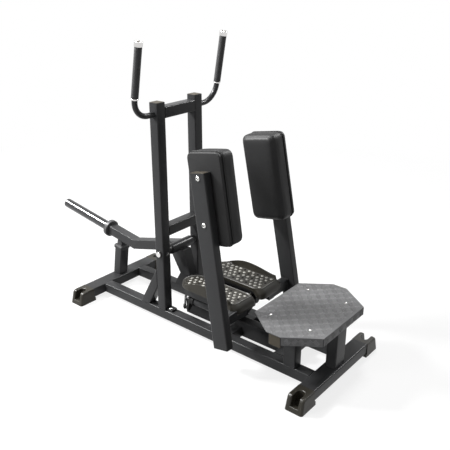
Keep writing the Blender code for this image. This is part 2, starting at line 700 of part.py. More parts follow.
def make_weight_arm():
    pivot = pivot_empty("weight_arm_pivot", at_side_view(ARM_PIVOT))
    centre = at_side_view(ARM_PIVOT)
    sleeve_bore = AXLE_RADIUS + 0.0008
    sleeve = turned(((sleeve_bore, -SLEEVE_HALF), (SLEEVE_RADIUS, -SLEEVE_HALF), (SLEEVE_RADIUS, SLEEVE_HALF),
                     (sleeve_bore, SLEEVE_HALF)), centre, X_AXIS, 32, True)
    piece("arm_sleeve", PAINT, sleeve, pivot)

    def cope():
        return rod(at_side_view(ARM_PIVOT, -0.08), at_side_view(ARM_PIVOT, 0.08), SLEEVE_RADIUS + GAP, 32)

    bend = at_side_view(ARM_BEND)
    collar = at_side_view(COLLAR_CENTRE)
    along = (collar - bend).normalized()
    collar_front = collar - along * (COLLAR_THICKNESS / 2)
    path = [centre, bend, collar_front - along * GAP]
    piece("weight_arm", PAINT, tube(path, X_AXIS, TUBE, TUBE), pivot, cut=[cope()])
    disc = turned(((HORN_RADIUS + GAP, 0), (0.043, 0), (COLLAR_RADIUS, 0.002),
                   (COLLAR_RADIUS, COLLAR_THICKNESS - 0.002), (0.043, COLLAR_THICKNESS),
                   (HORN_RADIUS + GAP, COLLAR_THICKNESS)), collar_front, along, 32, True)
    piece("horn_collar", GREY, disc, pivot)

    horn_start = collar_front + along * GAP
    rim = (HORN_END_Y - horn_start.y - HORN_RADIUS * along.z) / along.y
    bore = HORN_RADIUS - 0.004
    closed_at = rim - 0.008
    horn = turned(((bore, 0), (HORN_RADIUS, 0), (HORN_RADIUS, rim - 0.003),
                   (HORN_RADIUS - 0.0009, rim - 0.0009), (HORN_RADIUS - 0.003, rim),
                   (bore - 0.002, rim - 0.0005), (0.003, rim - 0.0005), (0.003, closed_at),
                   (bore, closed_at)), horn_start, along, 32, True)
    piece("weight_horn", CHROME, horn, pivot)

    outline = ((-0.022, 0.350), (-0.052, 0.249), (-0.059, 0.222), (0.004, 0.222), (0.054, 0.305),
               (0.058, 0.3257), (0.0166, 0.3366), (0.010, 0.350))
    body = prism(outline, "X", -TUBE / 2, TUBE / 2)
    pin_centre = (DROP_BALL.y, DROP_BALL.z)
    lug_outline = arc(pin_centre, 0.0165, 175, 345, 8) + [(-0.004, 0.226), (-0.0585, 0.226)]
    lug_half = 0.010
    lug = prism(lug_outline, "X", -lug_half, lug_half)
    pin_radius = 0.008
    hole = rod(at_side_view(pin_centre, -0.03), at_side_view(pin_centre, 0.03), pin_radius + GAP, 16)
    piece("drop_arm", PAINT, body, pivot, add=[lug], cut=[cope(), hole])

    collar_in = lug_half + GAP
    stub = 0.003
    half_profile = [(pin_radius, collar_in), (0.011, collar_in), (0.011, 0.0145), (stub, 0.0145)]
    x = DROP_BALL.x
    for deg in range(-60, 90, 30):
        angle = math.radians(deg)
        half_profile.append((DROP_BALL_RADIUS * math.cos(angle), x + DROP_BALL_RADIUS * math.sin(angle)))
    half_profile.append((0.0015, x + DROP_BALL_RADIUS))
    profile = [(r, -h) for r, h in reversed(half_profile)] + half_profile
    piece("drop_pin", STEEL, turned(profile, at_side_view(pin_centre), X_AXIS, 12), pivot)


# Legs

def leg_frame_matrix():
    """Frame of the right lever's inner face: x' out through the lever, y' rearwards, z' up along it."""
    up = Vector((-LEVER_INWARD, LEVER_LEAN, 1)).normalized()
    back = Vector((0, up.z, -up.y)).normalized()
    out = back.cross(up)
    matrix = Matrix((out, back, up)).transposed().to_4x4()
    matrix.translation = PAD_POINT
    return matrix


LEVER_FRAME = leg_frame_matrix()


def lever_height(z):
    """Distance along the lever from the pad's middle to height z."""
    return (z - PAD_POINT.z) / LEVER_FRAME.col[2].z


def in_lever_frame(bm):
    bm.transform(LEVER_FRAME)
    return bm


def cushion():
    """Pad cushion in the lever's frame: drawn-in back edge, seam, round front edge and crown."""
    back = -BOARD_THICKNESS - 2 * GAP
    straight = CUSHION_THICKNESS - CUSHION_EDGE
    levels = [(0.0, 0.0045), (0.003, 0.0015), (0.009, 0.0), (SEAM_DEPTH - 0.003, 0.0006),
              (SEAM_DEPTH, 0.0030), (SEAM_DEPTH + 0.003, 0.0006), (straight, 0.0)]
    for step in range(1, 7):
        angle = math.radians(15 * step)
        rise = CUSHION_EDGE * 0.92 * math.sin(angle)
        levels.append((straight + rise, CUSHION_EDGE * (1 - math.cos(angle))))
    crown = CUSHION_EDGE * 0.08
    half_width = PAD_WIDTH / 2
    half_length = PAD_LENGTH / 2
    rings = []
    for depth, inset in levels:
        radius = max(CUSHION_CORNER - inset * 0.6, 0.010)
        outline = rounded_rectangle((-half_width + inset, -half_length + inset),
                                    (half_width - inset, half_length - inset), (radius,) * 4, 6)
        rings.append([Vector((back - depth, PAD_OFFSET_Y + y, z)) for y, z in outline])
    flat = rings[-1]
    middle = Vector((flat[0].x, PAD_OFFSET_Y, 0))
    for shrink, rise in ((0.66, 0.7), (0.30, 1.0)):
        rings.append([middle.lerp(point, shrink) - Vector((crown * rise, 0, 0)) for point in flat])
    return loft(rings)


def lip_height(y):
    """Height of the outer lip: level from the heel on, with a smooth hump, and down to 0 at the toe."""
    along = (y - PEDAL_HEEL_Y) / (PEDAL_TOE_Y - PEDAL_HEEL_Y)
    fall = min(max((along - 0.55) / 0.45, 0.0), 1.0)
    hump = math.sin(math.pi * min(max((along - 0.05) / 0.86, 0.0), 1.0))
    return LIP_HEIGHT * (1 - fall * fall * (3 - 2 * fall)) + HUMP_HEIGHT * max(hump, 0.0) ** 1.5


def pedal_rim(outline, peak):
    """Rim along the outline, open at the heel: low on the inner side and a high lip on the outer side.

    peak is the height by which the rim's inner end rises at the heel.
    """
    path = []
    for start, end in zip(outline, outline[1:]):
        steps = max(1, round(math.dist(start, end) / 0.016))
        path += [(start[0] + (end[0] - start[0]) * i / steps, start[1] + (end[1] - start[1]) * i / steps)
                 for i in range(steps)]
    path.append(outline[-1])
    outer = offset_outline(path, 0.001)
    inner = offset_outline(path, 0.001 + RIM_THICKNESS)
    rings = []
    for out, (x, y) in zip(outer, inner):
        share = min(max((out[0] - 0.130) / 0.034, 0.0), 1.0)
        top = DECK_TOP + RIM_HEIGHT + (lip_height(out[1]) - RIM_HEIGHT) * share
        if out[0] < PEDAL_MIDDLE_X:
            top += peak * max(1 - (out[1] - PEDAL_HEEL_Y) / 0.034, 0.0) ** 2
        base = DECK_TOP - 0.006
        crest = (out[0] * 0.6 + x * 0.4, out[1] * 0.6 + y * 0.4, top)
        rings.append([Vector((*out, base)), Vector((*out, (DECK_TOP + top) / 2)), Vector(crest),
                      Vector((x, y, top - 0.0005)), Vector((x, y, base))])
    return loft(rings)


def pedal_solids(inner_heel, outer_heel):
    """Right pedal: deck, heel wall, rim and the seat on its tube, and what is cut away under the deck.

    inner_heel and outer_heel are the radii of its two heel corners.
    """
    steps = 5
    radii = (inner_heel, outer_heel) + TOE_RADII

    def ring_at(depth, inset, flare, rear_y=PEDAL_TOE_Y, rear_radii=TOE_RADII):
        low = (PEDAL_INNER_X + inset, PEDAL_HEEL_Y + inset - flare)
        high = (PEDAL_OUTER_X - inset, rear_y - inset)
        inset_radii = [max(radius - inset, 0.003) for radius in radii[:2] + rear_radii]
        return [Vector((x, y, DECK_TOP - depth)) for x, y in rounded_rectangle(low, high, inset_radii, steps)]

    deck = loft([ring_at(SIDE_DEPTH, 0.004, 0.0), ring_at(SIDE_DEPTH * 0.7, 0.0005, 0.0),
                 ring_at(0.002, 0.0, 0.0), ring_at(0.0, 0.0015, 0.0)])
    heel_rear = PEDAL_HEEL_Y + HEEL_LENGTH
    corners = (0.004, 0.004)
    heel = loft([ring_at(HEEL_DEPTH, 0.003, HEEL_FLARE - 0.001, heel_rear, corners),
                 ring_at(HEEL_DEPTH * 0.85, 0.001, HEEL_FLARE, heel_rear, corners),
                 ring_at(HEEL_DEPTH * 0.5, 0.0, HEEL_FLARE * 0.85, heel_rear, corners),
                 ring_at(HEEL_DEPTH * 0.2, 0.0, HEEL_FLARE * 0.42, heel_rear, corners),
                 ring_at(0.001, 0.001, 0.001, heel_rear, corners)])
    outline = rounded_rectangle((PEDAL_INNER_X, PEDAL_HEEL_Y), (PEDAL_OUTER_X, PEDAL_TOE_Y), radii, steps)
    sharp_inside = inner_heel < outer_heel
    rim = pedal_rim(outline[steps + 1:] + outline[:1], HEEL_PEAK if sharp_inside else 0.0)
    slot_top = ARM_TOP + GAP
    half = CARRIER_WIDTH / 2
    tilted = [deck, heel, rim]
    for solid in tilted:
        for vert in solid.verts:
            vert.co.z += PEDAL_TILT * (vert.co.x - PEDAL_MIDDLE_X)
    seat = box((PEDAL_TUBE_X - half + 0.004, heel_rear - 0.010, slot_top),
               (PEDAL_TUBE_X + half - 0.004, PEDAL_TOE_Y - 0.040, DECK_TOP - 0.006))

    heel_wall_y = ARM_FRONT_Y - 2 * GAP
    low_z = DECK_TOP - HEEL_DEPTH - 0.02
    inner_wall = PEDAL_INNER_X + 0.006 + 0.8 * inner_heel
    hollow = box((inner_wall, heel_wall_y, low_z), (PEDAL_OUTER_X - 0.007, heel_rear + 0.01, slot_top))
    arm_slot = box((PEDAL_TUBE_X, heel_wall_y, low_z),
                   (PEDAL_OUTER_X + 0.02, ARM_FRONT_Y + CARRIER_WIDTH + GAP, slot_top))
    wedge_top = DECK_TOP - SIDE_DEPTH - 0.006
    wedge = prism([(PEDAL_HEEL_Y + 0.006, low_z), (heel_rear + 0.01, low_z), (heel_rear + 0.01, wedge_top),
                   (heel_rear - 0.004, wedge_top), (PEDAL_HEEL_Y + 0.006, DECK_TOP - HEEL_DEPTH + 0.006)],
                  "X", PEDAL_INNER_X - 0.01, PEDAL_OUTER_X + 0.01)
    return deck, [heel, rim, seat], [hollow, arm_slot, wedge]


def link_outline(first, first_radius, second, second_radius):
    """Outline of a plate round two circles, joined by its tangents."""
    offset = Vector(second) - Vector(first)
    heading = math.degrees(math.atan2(offset.y, offset.x))
    opening = math.degrees(math.acos((first_radius - second_radius) / offset.length))
    outline = arc(first, first_radius, heading + opening, heading + 360 - opening, 12)
    return outline + arc(second, second_radius, heading - opening, heading + opening, 6)


def pedal_carrier():
    """Pedal tube, cross arm to the lever, web and hub, as solids to be joined."""
    x, z = LEG_AXIS
    half = CARRIER_WIDTH / 2
    heights = (ARM_TOP - TUBE, ARM_TOP)
    tube_front = ARM_FRONT_Y + 0.0005
    width = spans(PEDAL_TUBE_X, CARRIER_WIDTH)
    pedal_tube = straight_tube("Y", tube_front, PEDAL_TUBE_REAR_Y, width, heights)
    end_cap = box((width[0], ARM_FRONT_Y, heights[0]), (width[1], ARM_FRONT_Y + WALL, heights[1]))
    inner = LEVER_FRAME.inverted()
    arm_y = ARM_FRONT_Y + half
    arm_z = ARM_TOP - TUBE / 2
    start = Vector((PEDAL_TUBE_X + half - 0.0015, arm_y, arm_z))
    normal = LEVER_FRAME.col[0].to_3d()
    reach = -(inner @ start).x / (inner.to_3x3() @ X_AXIS).x
    end = start + X_AXIS * (reach - 2 * GAP)
    cross_arm = tube([start, end], Y_AXIS, CARRIER_WIDTH, TUBE, (None, normal))
    hub_low = FRONT_PLATE_Y + PLATE_THICKNESS + 0.0015
    hub_high = REAR_PLATE_Y - 0.0015
    web = box((x - 0.006, hub_low + 0.004, z + HUB_RADIUS - 0.004),
              (x + 0.006, hub_high - 0.004, heights[0] + 0.001))
    hub_bore = SHAFT_RADIUS + GAP
    hub = turned(((hub_bore, hub_low), (HUB_RADIUS, hub_low), (HUB_RADIUS, hub_high), (hub_bore, hub_high)),
                 Vector((x, 0, z)), Y_AXIS, 24, True)
    return pedal_tube, [end_cap, cross_arm, hub, web]


def make_leg(label, side):
    x, z = LEG_AXIS
    pivot = pivot_empty(label + "_leg_pivot", Vector((side * x, PEDAL_HEEL_Y, z)))

    def add(name, material, solid, **options):
        tools = {key: [on_side(side, tool) for tool in options.get(key, ())] for key in ("add", "cut")}
        piece(label + "_" + name, material, on_side(side, solid), pivot, **tools)

    tube_solid, welded = pedal_carrier()
    add("leg_frame", PAINT, tube_solid, add=welded)

    front = FRONT_PLATE_Y - 0.004
    crank_low = -0.141
    crank_high = -0.129
    shaft_end = crank_high + 0.001
    shaft = turned(((0.016, front - 0.008), (0.018, front - 0.006), (0.018, front), (SHAFT_RADIUS, front),
                    (SHAFT_RADIUS, shaft_end)), Vector((x, 0, z)), Y_AXIS, 32)
    add("hinge_shaft", STEEL, shaft)
    crank_outline = link_outline((x, z), 0.020, (CRANK_BALL.x, CRANK_BALL.z), 0.011)
    plate = prism(crank_outline, "Y", crank_low, crank_high)
    stud = rod(Vector((CRANK_BALL.x, crank_high - 0.002, CRANK_BALL.z)), CRANK_BALL, 0.003, 12)
    bore = rod(Vector((x, crank_low - 0.01, z)), Vector((x, crank_high + 0.01, z)), SHAFT_RADIUS + GAP, 32)
    add("crank", PAINT, plate, add=[stud, ball(CRANK_BALL, BALL_RADIUS)], cut=[bore])

    heels = (HEEL_ROUND, HEEL_SHARP) if side > 0 else (HEEL_SHARP, HEEL_ROUND)
    body, raised, hollows = pedal_solids(*heels)
    add("pedal", MOULDING, body, add=raised, cut=hollows)

    bottom = Vector((LEVER_WIDTH / 2, 0, lever_height(LEVER_BOTTOM_Z)))
    top = Vector((LEVER_WIDTH / 2, 0, lever_height(LEVER_TOP_Z)))
    lever = in_lever_frame(tube([bottom, top], X_AXIS, LEVER_WIDTH, LEVER_DEPTH))
    bolt_y = PAD_OFFSET_Y / 2
    holes = []
    bolts = []
    for level in PAD_BOLT_Z:
        seat = Vector((LEVER_WIDTH, bolt_y, lever_height(level)))
        holes.append(in_lever_frame(rod(seat - X_AXIS * 0.052, seat + X_AXIS * 0.01, 0.0046, 12)))
        bolts.append(in_lever_frame(button_bolt(seat, X_AXIS, 0.0095, 0.006, 0.004, LEVER_WIDTH + 0.010)))
    add("lever", PAINT, lever, cut=holes)
    plug = tube_plug(top, Z_AXIS, X_AXIS, LEVER_WIDTH - 2 * WALL - 2 * GAP, LEVER_DEPTH - 2 * WALL - 2 * GAP)
    add("lever_plug", MOULDING, in_lever_frame(plug))
    inset = 0.005
    board_outline = rounded_rectangle((PAD_OFFSET_Y - PAD_WIDTH / 2 + inset, -PAD_LENGTH / 2 + inset),
                                      (PAD_OFFSET_Y + PAD_WIDTH / 2 - inset, PAD_LENGTH / 2 - inset),
                                      (CUSHION_CORNER - inset,) * 4, 5)
    board = in_lever_frame(prism(board_outline, "X", -BOARD_THICKNESS - GAP, -GAP))
    add("pad_board", BOARD, board, add=bolts)
    add("pad_cushion", VINYL, in_lever_frame(cushion()))


# Link rods

def make_link(label, side):
    """Rod from the crank's ball to the ball on the drop arm's pin, with an eye at each end."""
    mirror = Vector((side, 1, 1))
    pivot = pivot_empty(label + "_link_pivot", CRANK_BALL * mirror)
    along = (DROP_BALL - CRANK_BALL).normalized()

    def across(axis):
        return (axis - along * axis.dot(along)).normalized()

    crank_eye = ring(CRANK_BALL, across(Y_AXIS), BALL_RADIUS + 0.0007, 0.012, 0.003)
    drop_eye = ring(DROP_BALL, across(X_AXIS), DROP_BALL_RADIUS + 0.0018, 0.0135, 0.003)
    bar = rod(CRANK_BALL + along * 0.0098, DROP_BALL - along * 0.0113, 0.0055, 16)
    piece(label + "_link_rod", PAINT, on_side(side, bar), pivot,
          add=[on_side(side, crank_eye), on_side(side, drop_eye)])


make_rails()
make_crossbars()
make_foot_caps()
make_centre_beam()
make_uprights()
make_braces()
make_handlebars()
make_bumper()
make_axle()
make_step()
make_step_supports()
make_hinge_brackets()
make_weight_arm()
for leg_label, leg_side in SIDES:
    make_leg(leg_label, leg_side)
    make_link(leg_label, leg_side)
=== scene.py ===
# %% [markdown]
# # A standing hip abductor machine
# The machine is a base of square steel tube, two padded legs that swing outward, and a weight arm
# behind that a linkage lifts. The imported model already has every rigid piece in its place. This
# lesson dresses it: finer surfaces where the real piece is round, moulded or sewn, and a procedural
# finish on everything. Lengths are metres, +Z is up and +Y is the way the user faces.

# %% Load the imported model
import json

import bmesh
import bpy
import numpy as np
from mathutils import Matrix, Vector


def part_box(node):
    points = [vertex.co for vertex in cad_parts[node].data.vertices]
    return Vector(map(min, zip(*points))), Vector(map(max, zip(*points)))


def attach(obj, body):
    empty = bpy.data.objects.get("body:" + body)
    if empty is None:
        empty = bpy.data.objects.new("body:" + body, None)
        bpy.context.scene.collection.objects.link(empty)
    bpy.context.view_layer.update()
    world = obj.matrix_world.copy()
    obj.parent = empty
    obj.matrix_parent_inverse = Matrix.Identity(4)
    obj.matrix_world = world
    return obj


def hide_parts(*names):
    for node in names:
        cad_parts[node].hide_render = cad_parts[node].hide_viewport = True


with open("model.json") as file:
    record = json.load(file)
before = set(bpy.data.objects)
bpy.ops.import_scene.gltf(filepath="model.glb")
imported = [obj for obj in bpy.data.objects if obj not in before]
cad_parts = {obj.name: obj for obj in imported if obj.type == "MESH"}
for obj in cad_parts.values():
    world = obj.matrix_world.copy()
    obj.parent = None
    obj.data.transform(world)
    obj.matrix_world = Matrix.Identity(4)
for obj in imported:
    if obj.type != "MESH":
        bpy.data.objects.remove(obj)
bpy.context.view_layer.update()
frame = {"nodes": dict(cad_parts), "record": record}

scene = bpy.context.scene

# %% [markdown]
# ## The camera
# The photograph looks down on the machine from behind the user's left side. The place below was
# solved from the straight edges of the tubes, so the model lands on the picture without fitting.

# %% Camera
PICTURE_SIDE = 450
FOCAL_PIXELS = 634.34
SENSOR = 36.0
CAMERA_PLACE = Vector((-2.028, -1.934, 1.634))
AZIMUTH = np.radians(-50.42)
ELEVATION = np.radians(22.61)


def add_object(name, data):
    """A new object in the scene."""
    thing = bpy.data.objects.new(name, data)
    scene.collection.objects.link(thing)
    return thing


def aim(thing, place, direction):
    """Put a camera or a lamp at a place and turn it to look along a direction."""
    thing.location = place
    thing.rotation_mode = "QUATERNION"
    thing.rotation_quaternion = direction.to_track_quat("-Z", "Y")


toward_camera = Vector((np.sin(AZIMUTH) * np.cos(ELEVATION), -np.cos(AZIMUTH) * np.cos(ELEVATION),
                        np.sin(ELEVATION)))
camera = add_object("camera", bpy.data.cameras.new("camera"))
camera.data.lens = FOCAL_PIXELS / PICTURE_SIDE * SENSOR
camera.data.sensor_width = SENSOR
aim(camera, CAMERA_PLACE, -toward_camera)
scene.camera = camera
print("lens", round(camera.data.lens, 2), "mm")

# %% [markdown]
# ## Surfaces as arrays
# Every new piece is a stack of rings. A ring is a row of points round the piece, and the skin joins
# each ring to the next with quads. With numpy a whole stack is one array, so a formula moves all of
# its points at once. A shape here is a triple: points, quads and end faces.

# %% Skins, joins and copies
def skin(rings, wrap=False):
    """Quads between neighbouring closed rings, ring i to ring i + 1.

    A wrapped stack joins its last ring to its first; any other gets one face over each end.
    """
    rings = np.asarray(rings, float)
    count, around = rings.shape[:2]
    index = np.arange(count * around).reshape(count, around)
    low, high = (index, np.roll(index, -1, axis=0)) if wrap else (index[:-1], index[1:])
    quads = np.stack([low, np.roll(low, -1, axis=1), np.roll(high, -1, axis=1), high], axis=-1)
    ends = [] if wrap else [index[0, ::-1], index[-1]]
    return rings.reshape(-1, 3), quads.reshape(-1, 4), ends


def join(*shapes):
    """Several shapes as one: point numbers are shifted by the points that come before."""
    starts = np.cumsum([0] + [len(points) for points, _, _ in shapes])
    points = np.concatenate([shape[0] for shape in shapes])
    quads = np.concatenate([shape[1] + start for shape, start in zip(shapes, starts)])
    ends = [end + start for shape, start in zip(shapes, starts) for end in shape[2]]
    return points, quads, ends


def repeat(shape, places, turns=None):
    """A copy of the shape at each place, turned about Z by the angle given for it."""
    points, quads, ends = shape
    places = np.asarray(places, float)
    angle = np.zeros(len(places)) if turns is None else np.asarray(turns, float)
    cosine = np.cos(angle)[:, None]
    sine = np.sin(angle)[:, None]
    x = points[:, 0] * cosine - points[:, 1] * sine
    y = points[:, 0] * sine + points[:, 1] * cosine
    z = np.broadcast_to(points[:, 2], x.shape)
    copies = np.stack([x, y, z], axis=-1) + places[:, None]
    shift = (np.arange(len(places)) * len(points))[:, None, None]
    more_ends = [end + step for step in shift.ravel() for end in ends]
    return copies.reshape(-1, 3), (quads[None] + shift).reshape(-1, 4), more_ends


def moved(shape, matrix):
    """The shape through a matrix: three columns turn it and the fourth moves it."""
    turn = np.array(matrix)
    return shape[0] @ turn[:3, :3].T + turn[:3, 3], shape[1], shape[2]


def on_side(shape, side):
    """The shape as given for side 1, and its mirror image across x = 0 for side -1."""
    return shape[0] * (side, 1, 1), shape[1], shape[2]


print("3 rings of 8 points give", len(skin(np.zeros((3, 8, 3)))[1]), "quads")


# %% Outlines
def on_circle(angles):
    """The points (cos t, sin t) at the angles t."""
    return np.stack([np.cos(angles), np.sin(angles)], axis=-1)


def full_turn(sides):
    """The angles of a full turn in equal steps."""
    return np.linspace(0, 2 * np.pi, sides, endpoint=False)


def rounded_outline(low, high, radii, steps=6):
    """Rectangle with a quarter circle in each corner: low-low, high-low, high-high, low-high."""
    turn = np.linspace(0, np.pi / 2, steps + 1)
    corners = []
    for number, radius in enumerate(radii):
        away = ((1, 1), (-1, 1), (-1, -1), (1, -1))[number]
        corner = (low[0] if away[0] > 0 else high[0], low[1] if away[1] > 0 else high[1])
        centre = np.array(corner) + np.array(away) * radius
        corners.append(centre + radius * on_circle(turn + np.pi * (1 + number / 2)))
    return np.concatenate(corners)


def evenly(outline, count):
    """The closed outline again, with its points at equal distances along it."""
    closed = np.vstack([outline, outline[:1]])
    along = np.append(0, np.cumsum(np.linalg.norm(np.diff(closed, axis=0), axis=1)))
    wanted = np.linspace(0, along[-1], count, endpoint=False)
    return np.stack([np.interp(wanted, along, closed[:, k]) for k in range(closed.shape[1])], axis=1)


def outward(outline):
    """Unit normals of an anticlockwise outline: its direction of travel, turned clockwise."""
    travel = np.roll(outline, -1, axis=0) - np.roll(outline, 1, axis=0)
    travel /= np.linalg.norm(travel, axis=1, keepdims=True)
    return np.stack([travel[:, 1], -travel[:, 0]], axis=1)


def level_ring(outline, z):
    """An outline (x, y) as a ring at height z."""
    return np.column_stack([outline, np.full(len(outline), z)])


def slab(outline, heights):
    """An outline (x, y) carried straight up through the heights."""
    return skin([level_ring(outline, z) for z in heights])


print("a rounded square has", len(rounded_outline((0, 0), (1, 1), (0.1,) * 4)), "points")


# %% Profiles and paths
def softened(points, radius, steps=4):
    """An open line with each inner corner C replaced by (1-t)^2 A + 2t(1-t) C + t^2 B.

    A and B lie on the two legs of the corner at the distance radius, or half the leg if less.
    """
    points = np.asarray(points, float)
    t = np.linspace(0, 1, steps + 1)[:, None]
    parts = [points[:1]]
    for before, corner, after in zip(points, points[1:], points[2:]):
        ends = []
        for other in (before, after):
            leg = np.linalg.norm(other - corner)
            ends.append(corner + (other - corner) / leg * min(radius, leg * 0.48))
        parts.append((1 - t) ** 2 * ends[0] + 2 * t * (1 - t) * corner + t ** 2 * ends[1])
    parts.append(points[-1:])
    return np.concatenate(parts)


def arced(points, radius, steps=20):
    """An open line with each inner corner replaced by an arc of a circle that touches both legs."""
    points = np.asarray(points, float)
    t = np.linspace(0, 1, steps + 1)[:, None]
    parts = [points[:1]]
    for before, corner, after in zip(points, points[1:], points[2:]):
        back = (before - corner) / np.linalg.norm(before - corner)
        on = (after - corner) / np.linalg.norm(after - corner)
        half = np.arccos(back @ on) / 2
        middle = corner + (back + on) / np.linalg.norm(back + on) * radius / np.sin(half)
        first, last = (corner + leg * radius / np.tan(half) - middle for leg in (back, on))
        turn = np.pi - 2 * half
        parts.append(middle + (np.sin((1 - t) * turn) * first + np.sin(t * turn) * last) / np.sin(turn))
    parts.append(points[-1:])
    return np.concatenate(parts)


def axes_about(axis):
    """Two unit vectors square to the axis and to each other, and the axis as a unit vector."""
    axis = np.asarray(axis, float) / np.linalg.norm(axis)
    first = np.cross(axis, np.eye(3)[np.argmin(abs(axis))])
    first /= np.linalg.norm(first)
    return first, np.cross(axis, first), axis


def turned(profile, base, axis, sides=64, wrap=False, lobes=None):
    """Profile (radius, height) turned about an axis: base + r cos(t) u + r sin(t) v + h axis.

    lobes scales the radius of each profile point and side, for hexagons.
    """
    profile = np.asarray(profile, float)
    u, v, w = axes_about(axis)
    t = full_turn(sides)
    circle = np.cos(t)[:, None] * u + np.sin(t)[:, None] * v
    radius = profile[:, :1] * np.ones(sides) if lobes is None else profile[:, :1] * lobes
    rings = np.asarray(base, float) + radius[..., None] * circle + profile[:, 1, None, None] * w
    return skin(rings, wrap)


def round_bar(path, radius, sides=32, across=(0, 1, 0)):
    """A circle carried along a path: point + r cos(t) width + r sin(t) depth, mitred at each bend.

    Width is `across` made square to the leg, and depth is square to both. Each point slides along
    its leg on to the plane that halves the bend.
    """
    path = np.asarray(path, float)
    legs = np.diff(path, axis=0)
    legs /= np.linalg.norm(legs, axis=1, keepdims=True)
    along = np.concatenate([legs, legs[-1:]])
    plane = along + np.concatenate([legs[:1], legs])
    across = np.asarray(across, float)
    width = across - along * (along @ across)[:, None]
    width /= np.linalg.norm(width, axis=1, keepdims=True)
    depth = np.cross(along, width)
    circle = radius * on_circle(full_turn(sides))
    offset = circle[None, :, :1] * width[:, None] + circle[None, :, 1:] * depth[:, None]
    slide = (offset * plane[:, None]).sum(-1) / (along * plane).sum(-1)[:, None]
    return skin(path[:, None] + offset - along[:, None] * slide[..., None])


print("one softened corner has", len(softened([(0, 0), (1, 0), (1, 1)], 0.1)), "points")

# %% [markdown]
# ## From arrays to pieces
# A shape becomes a mesh in one call. Its doubled points are merged and its normals are made to point
# outwards. Each piece rides on a body, so that it moves as the machine does, takes a finish, and
# hides the imported pieces that it stands for. Where a real piece is drilled or cut, an exact Boolean
# takes one closed cutter after another out of the mesh.

# %% From arrays to pieces
SIDES = (("right", 1), ("left", -1))
MERGE = 1e-6


def as_mesh(name, shape, merge=0.0):
    """A shape as a mesh with its normals outward; points closer than merge become one."""
    points, quads, ends = shape
    mesh = bpy.data.meshes.new(name)
    mesh.from_pydata(points.tolist(), [], quads.tolist() + [end.tolist() for end in ends])
    work = bmesh.new()
    work.from_mesh(mesh)
    if merge:
        bmesh.ops.remove_doubles(work, verts=work.verts, dist=merge)
    bmesh.ops.recalc_face_normals(work, faces=work.faces)
    work.to_mesh(mesh)
    work.free()
    return mesh


def build(name, shape, finish, body, replaces=(), sharp=38):
    """A finished piece that rides on a body; edges of more than `sharp` degrees stay crisp."""
    mesh = as_mesh(name, shape, MERGE)
    mesh.shade_smooth()
    mesh.set_sharp_from_angle(angle=np.radians(sharp))
    mesh.materials.append(finish)
    piece = add_object(name, mesh)
    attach(piece, body)
    if replaces:
        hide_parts(*replaces)
    print(name, len(mesh.vertices), "points")
    return piece


def with_modifiers(piece):
    """A new mesh: the piece's own after all of its modifiers."""
    graph = bpy.context.evaluated_depsgraph_get()
    return bpy.data.meshes.new_from_object(piece.evaluated_get(graph))


def carve(piece, cutters):
    """Take each closed cutter shape out of the piece's mesh, one Boolean after another."""
    for shape in cutters:
        cutter = add_object("cutter", as_mesh("cutter", shape))
        cut = piece.modifiers.new("cut", "BOOLEAN")
        cut.operation = "DIFFERENCE"
        cut.solver = "EXACT"
        cut.object = cutter
        piece.data = with_modifiers(piece)
        piece.modifiers.clear()
        bpy.data.objects.remove(cutter)
    piece.data.set_sharp_from_angle(angle=np.radians(50))


print("sides", [label for label, _ in SIDES])

# %% [markdown]
# ## Finishes
# A finish is a Principled shader whose colour, roughness and bump come from patterns. Node graphs
# are hard to read as lists of links, so a small class wraps a socket and lets Python's own + - *
# write the Math nodes. One method makes every other node, for finishes, floor and world alike.

# %% Shader arithmetic
class Wire:
    """A node's output that can be used in sums and products."""

    def __init__(self, graph, socket):
        self.graph = graph
        self.socket = socket

    def math(self, operation, first, second):
        """The Math node that works out one operation."""
        return self.graph.node("ShaderNodeMath", {"operation": operation}, {0: first, 1: second})

    def __add__(self, other):
        return self.math("ADD", self, other)

    def __radd__(self, other):
        return self.math("ADD", other, self)

    def __sub__(self, other):
        return self.math("SUBTRACT", self, other)

    def __rsub__(self, other):
        return self.math("SUBTRACT", other, self)

    def __mul__(self, other):
        return self.math("MULTIPLY", self, other)

    def __rmul__(self, other):
        return self.math("MULTIPLY", other, self)

    def __or__(self, other):
        """The greater of two masks, which is 1 where either is."""
        return self.math("MAXIMUM", self, other)


class Graph:
    """The nodes of a material or of the world."""

    def __init__(self, owner):
        owner.use_nodes = True
        self.tree = owner.node_tree

    def feed(self, node, inputs):
        """Give a node's sockets their values or links."""
        for key, value in inputs.items():
            if isinstance(value, Wire):
                self.tree.links.new(value.socket, node.inputs[key])
            else:
                node.inputs[key].default_value = value

    def node(self, kind, settings=None, inputs=None, output=0):
        """Any node: its settings first, then the values or links of its sockets."""
        made = self.tree.nodes.new(kind)
        for key, value in (settings or {}).items():
            setattr(made, key, value)
        self.feed(made, inputs or {})
        return None if output is None else Wire(self, made.outputs[output])


print("made", Wire.__name__, "and", Graph.__name__)


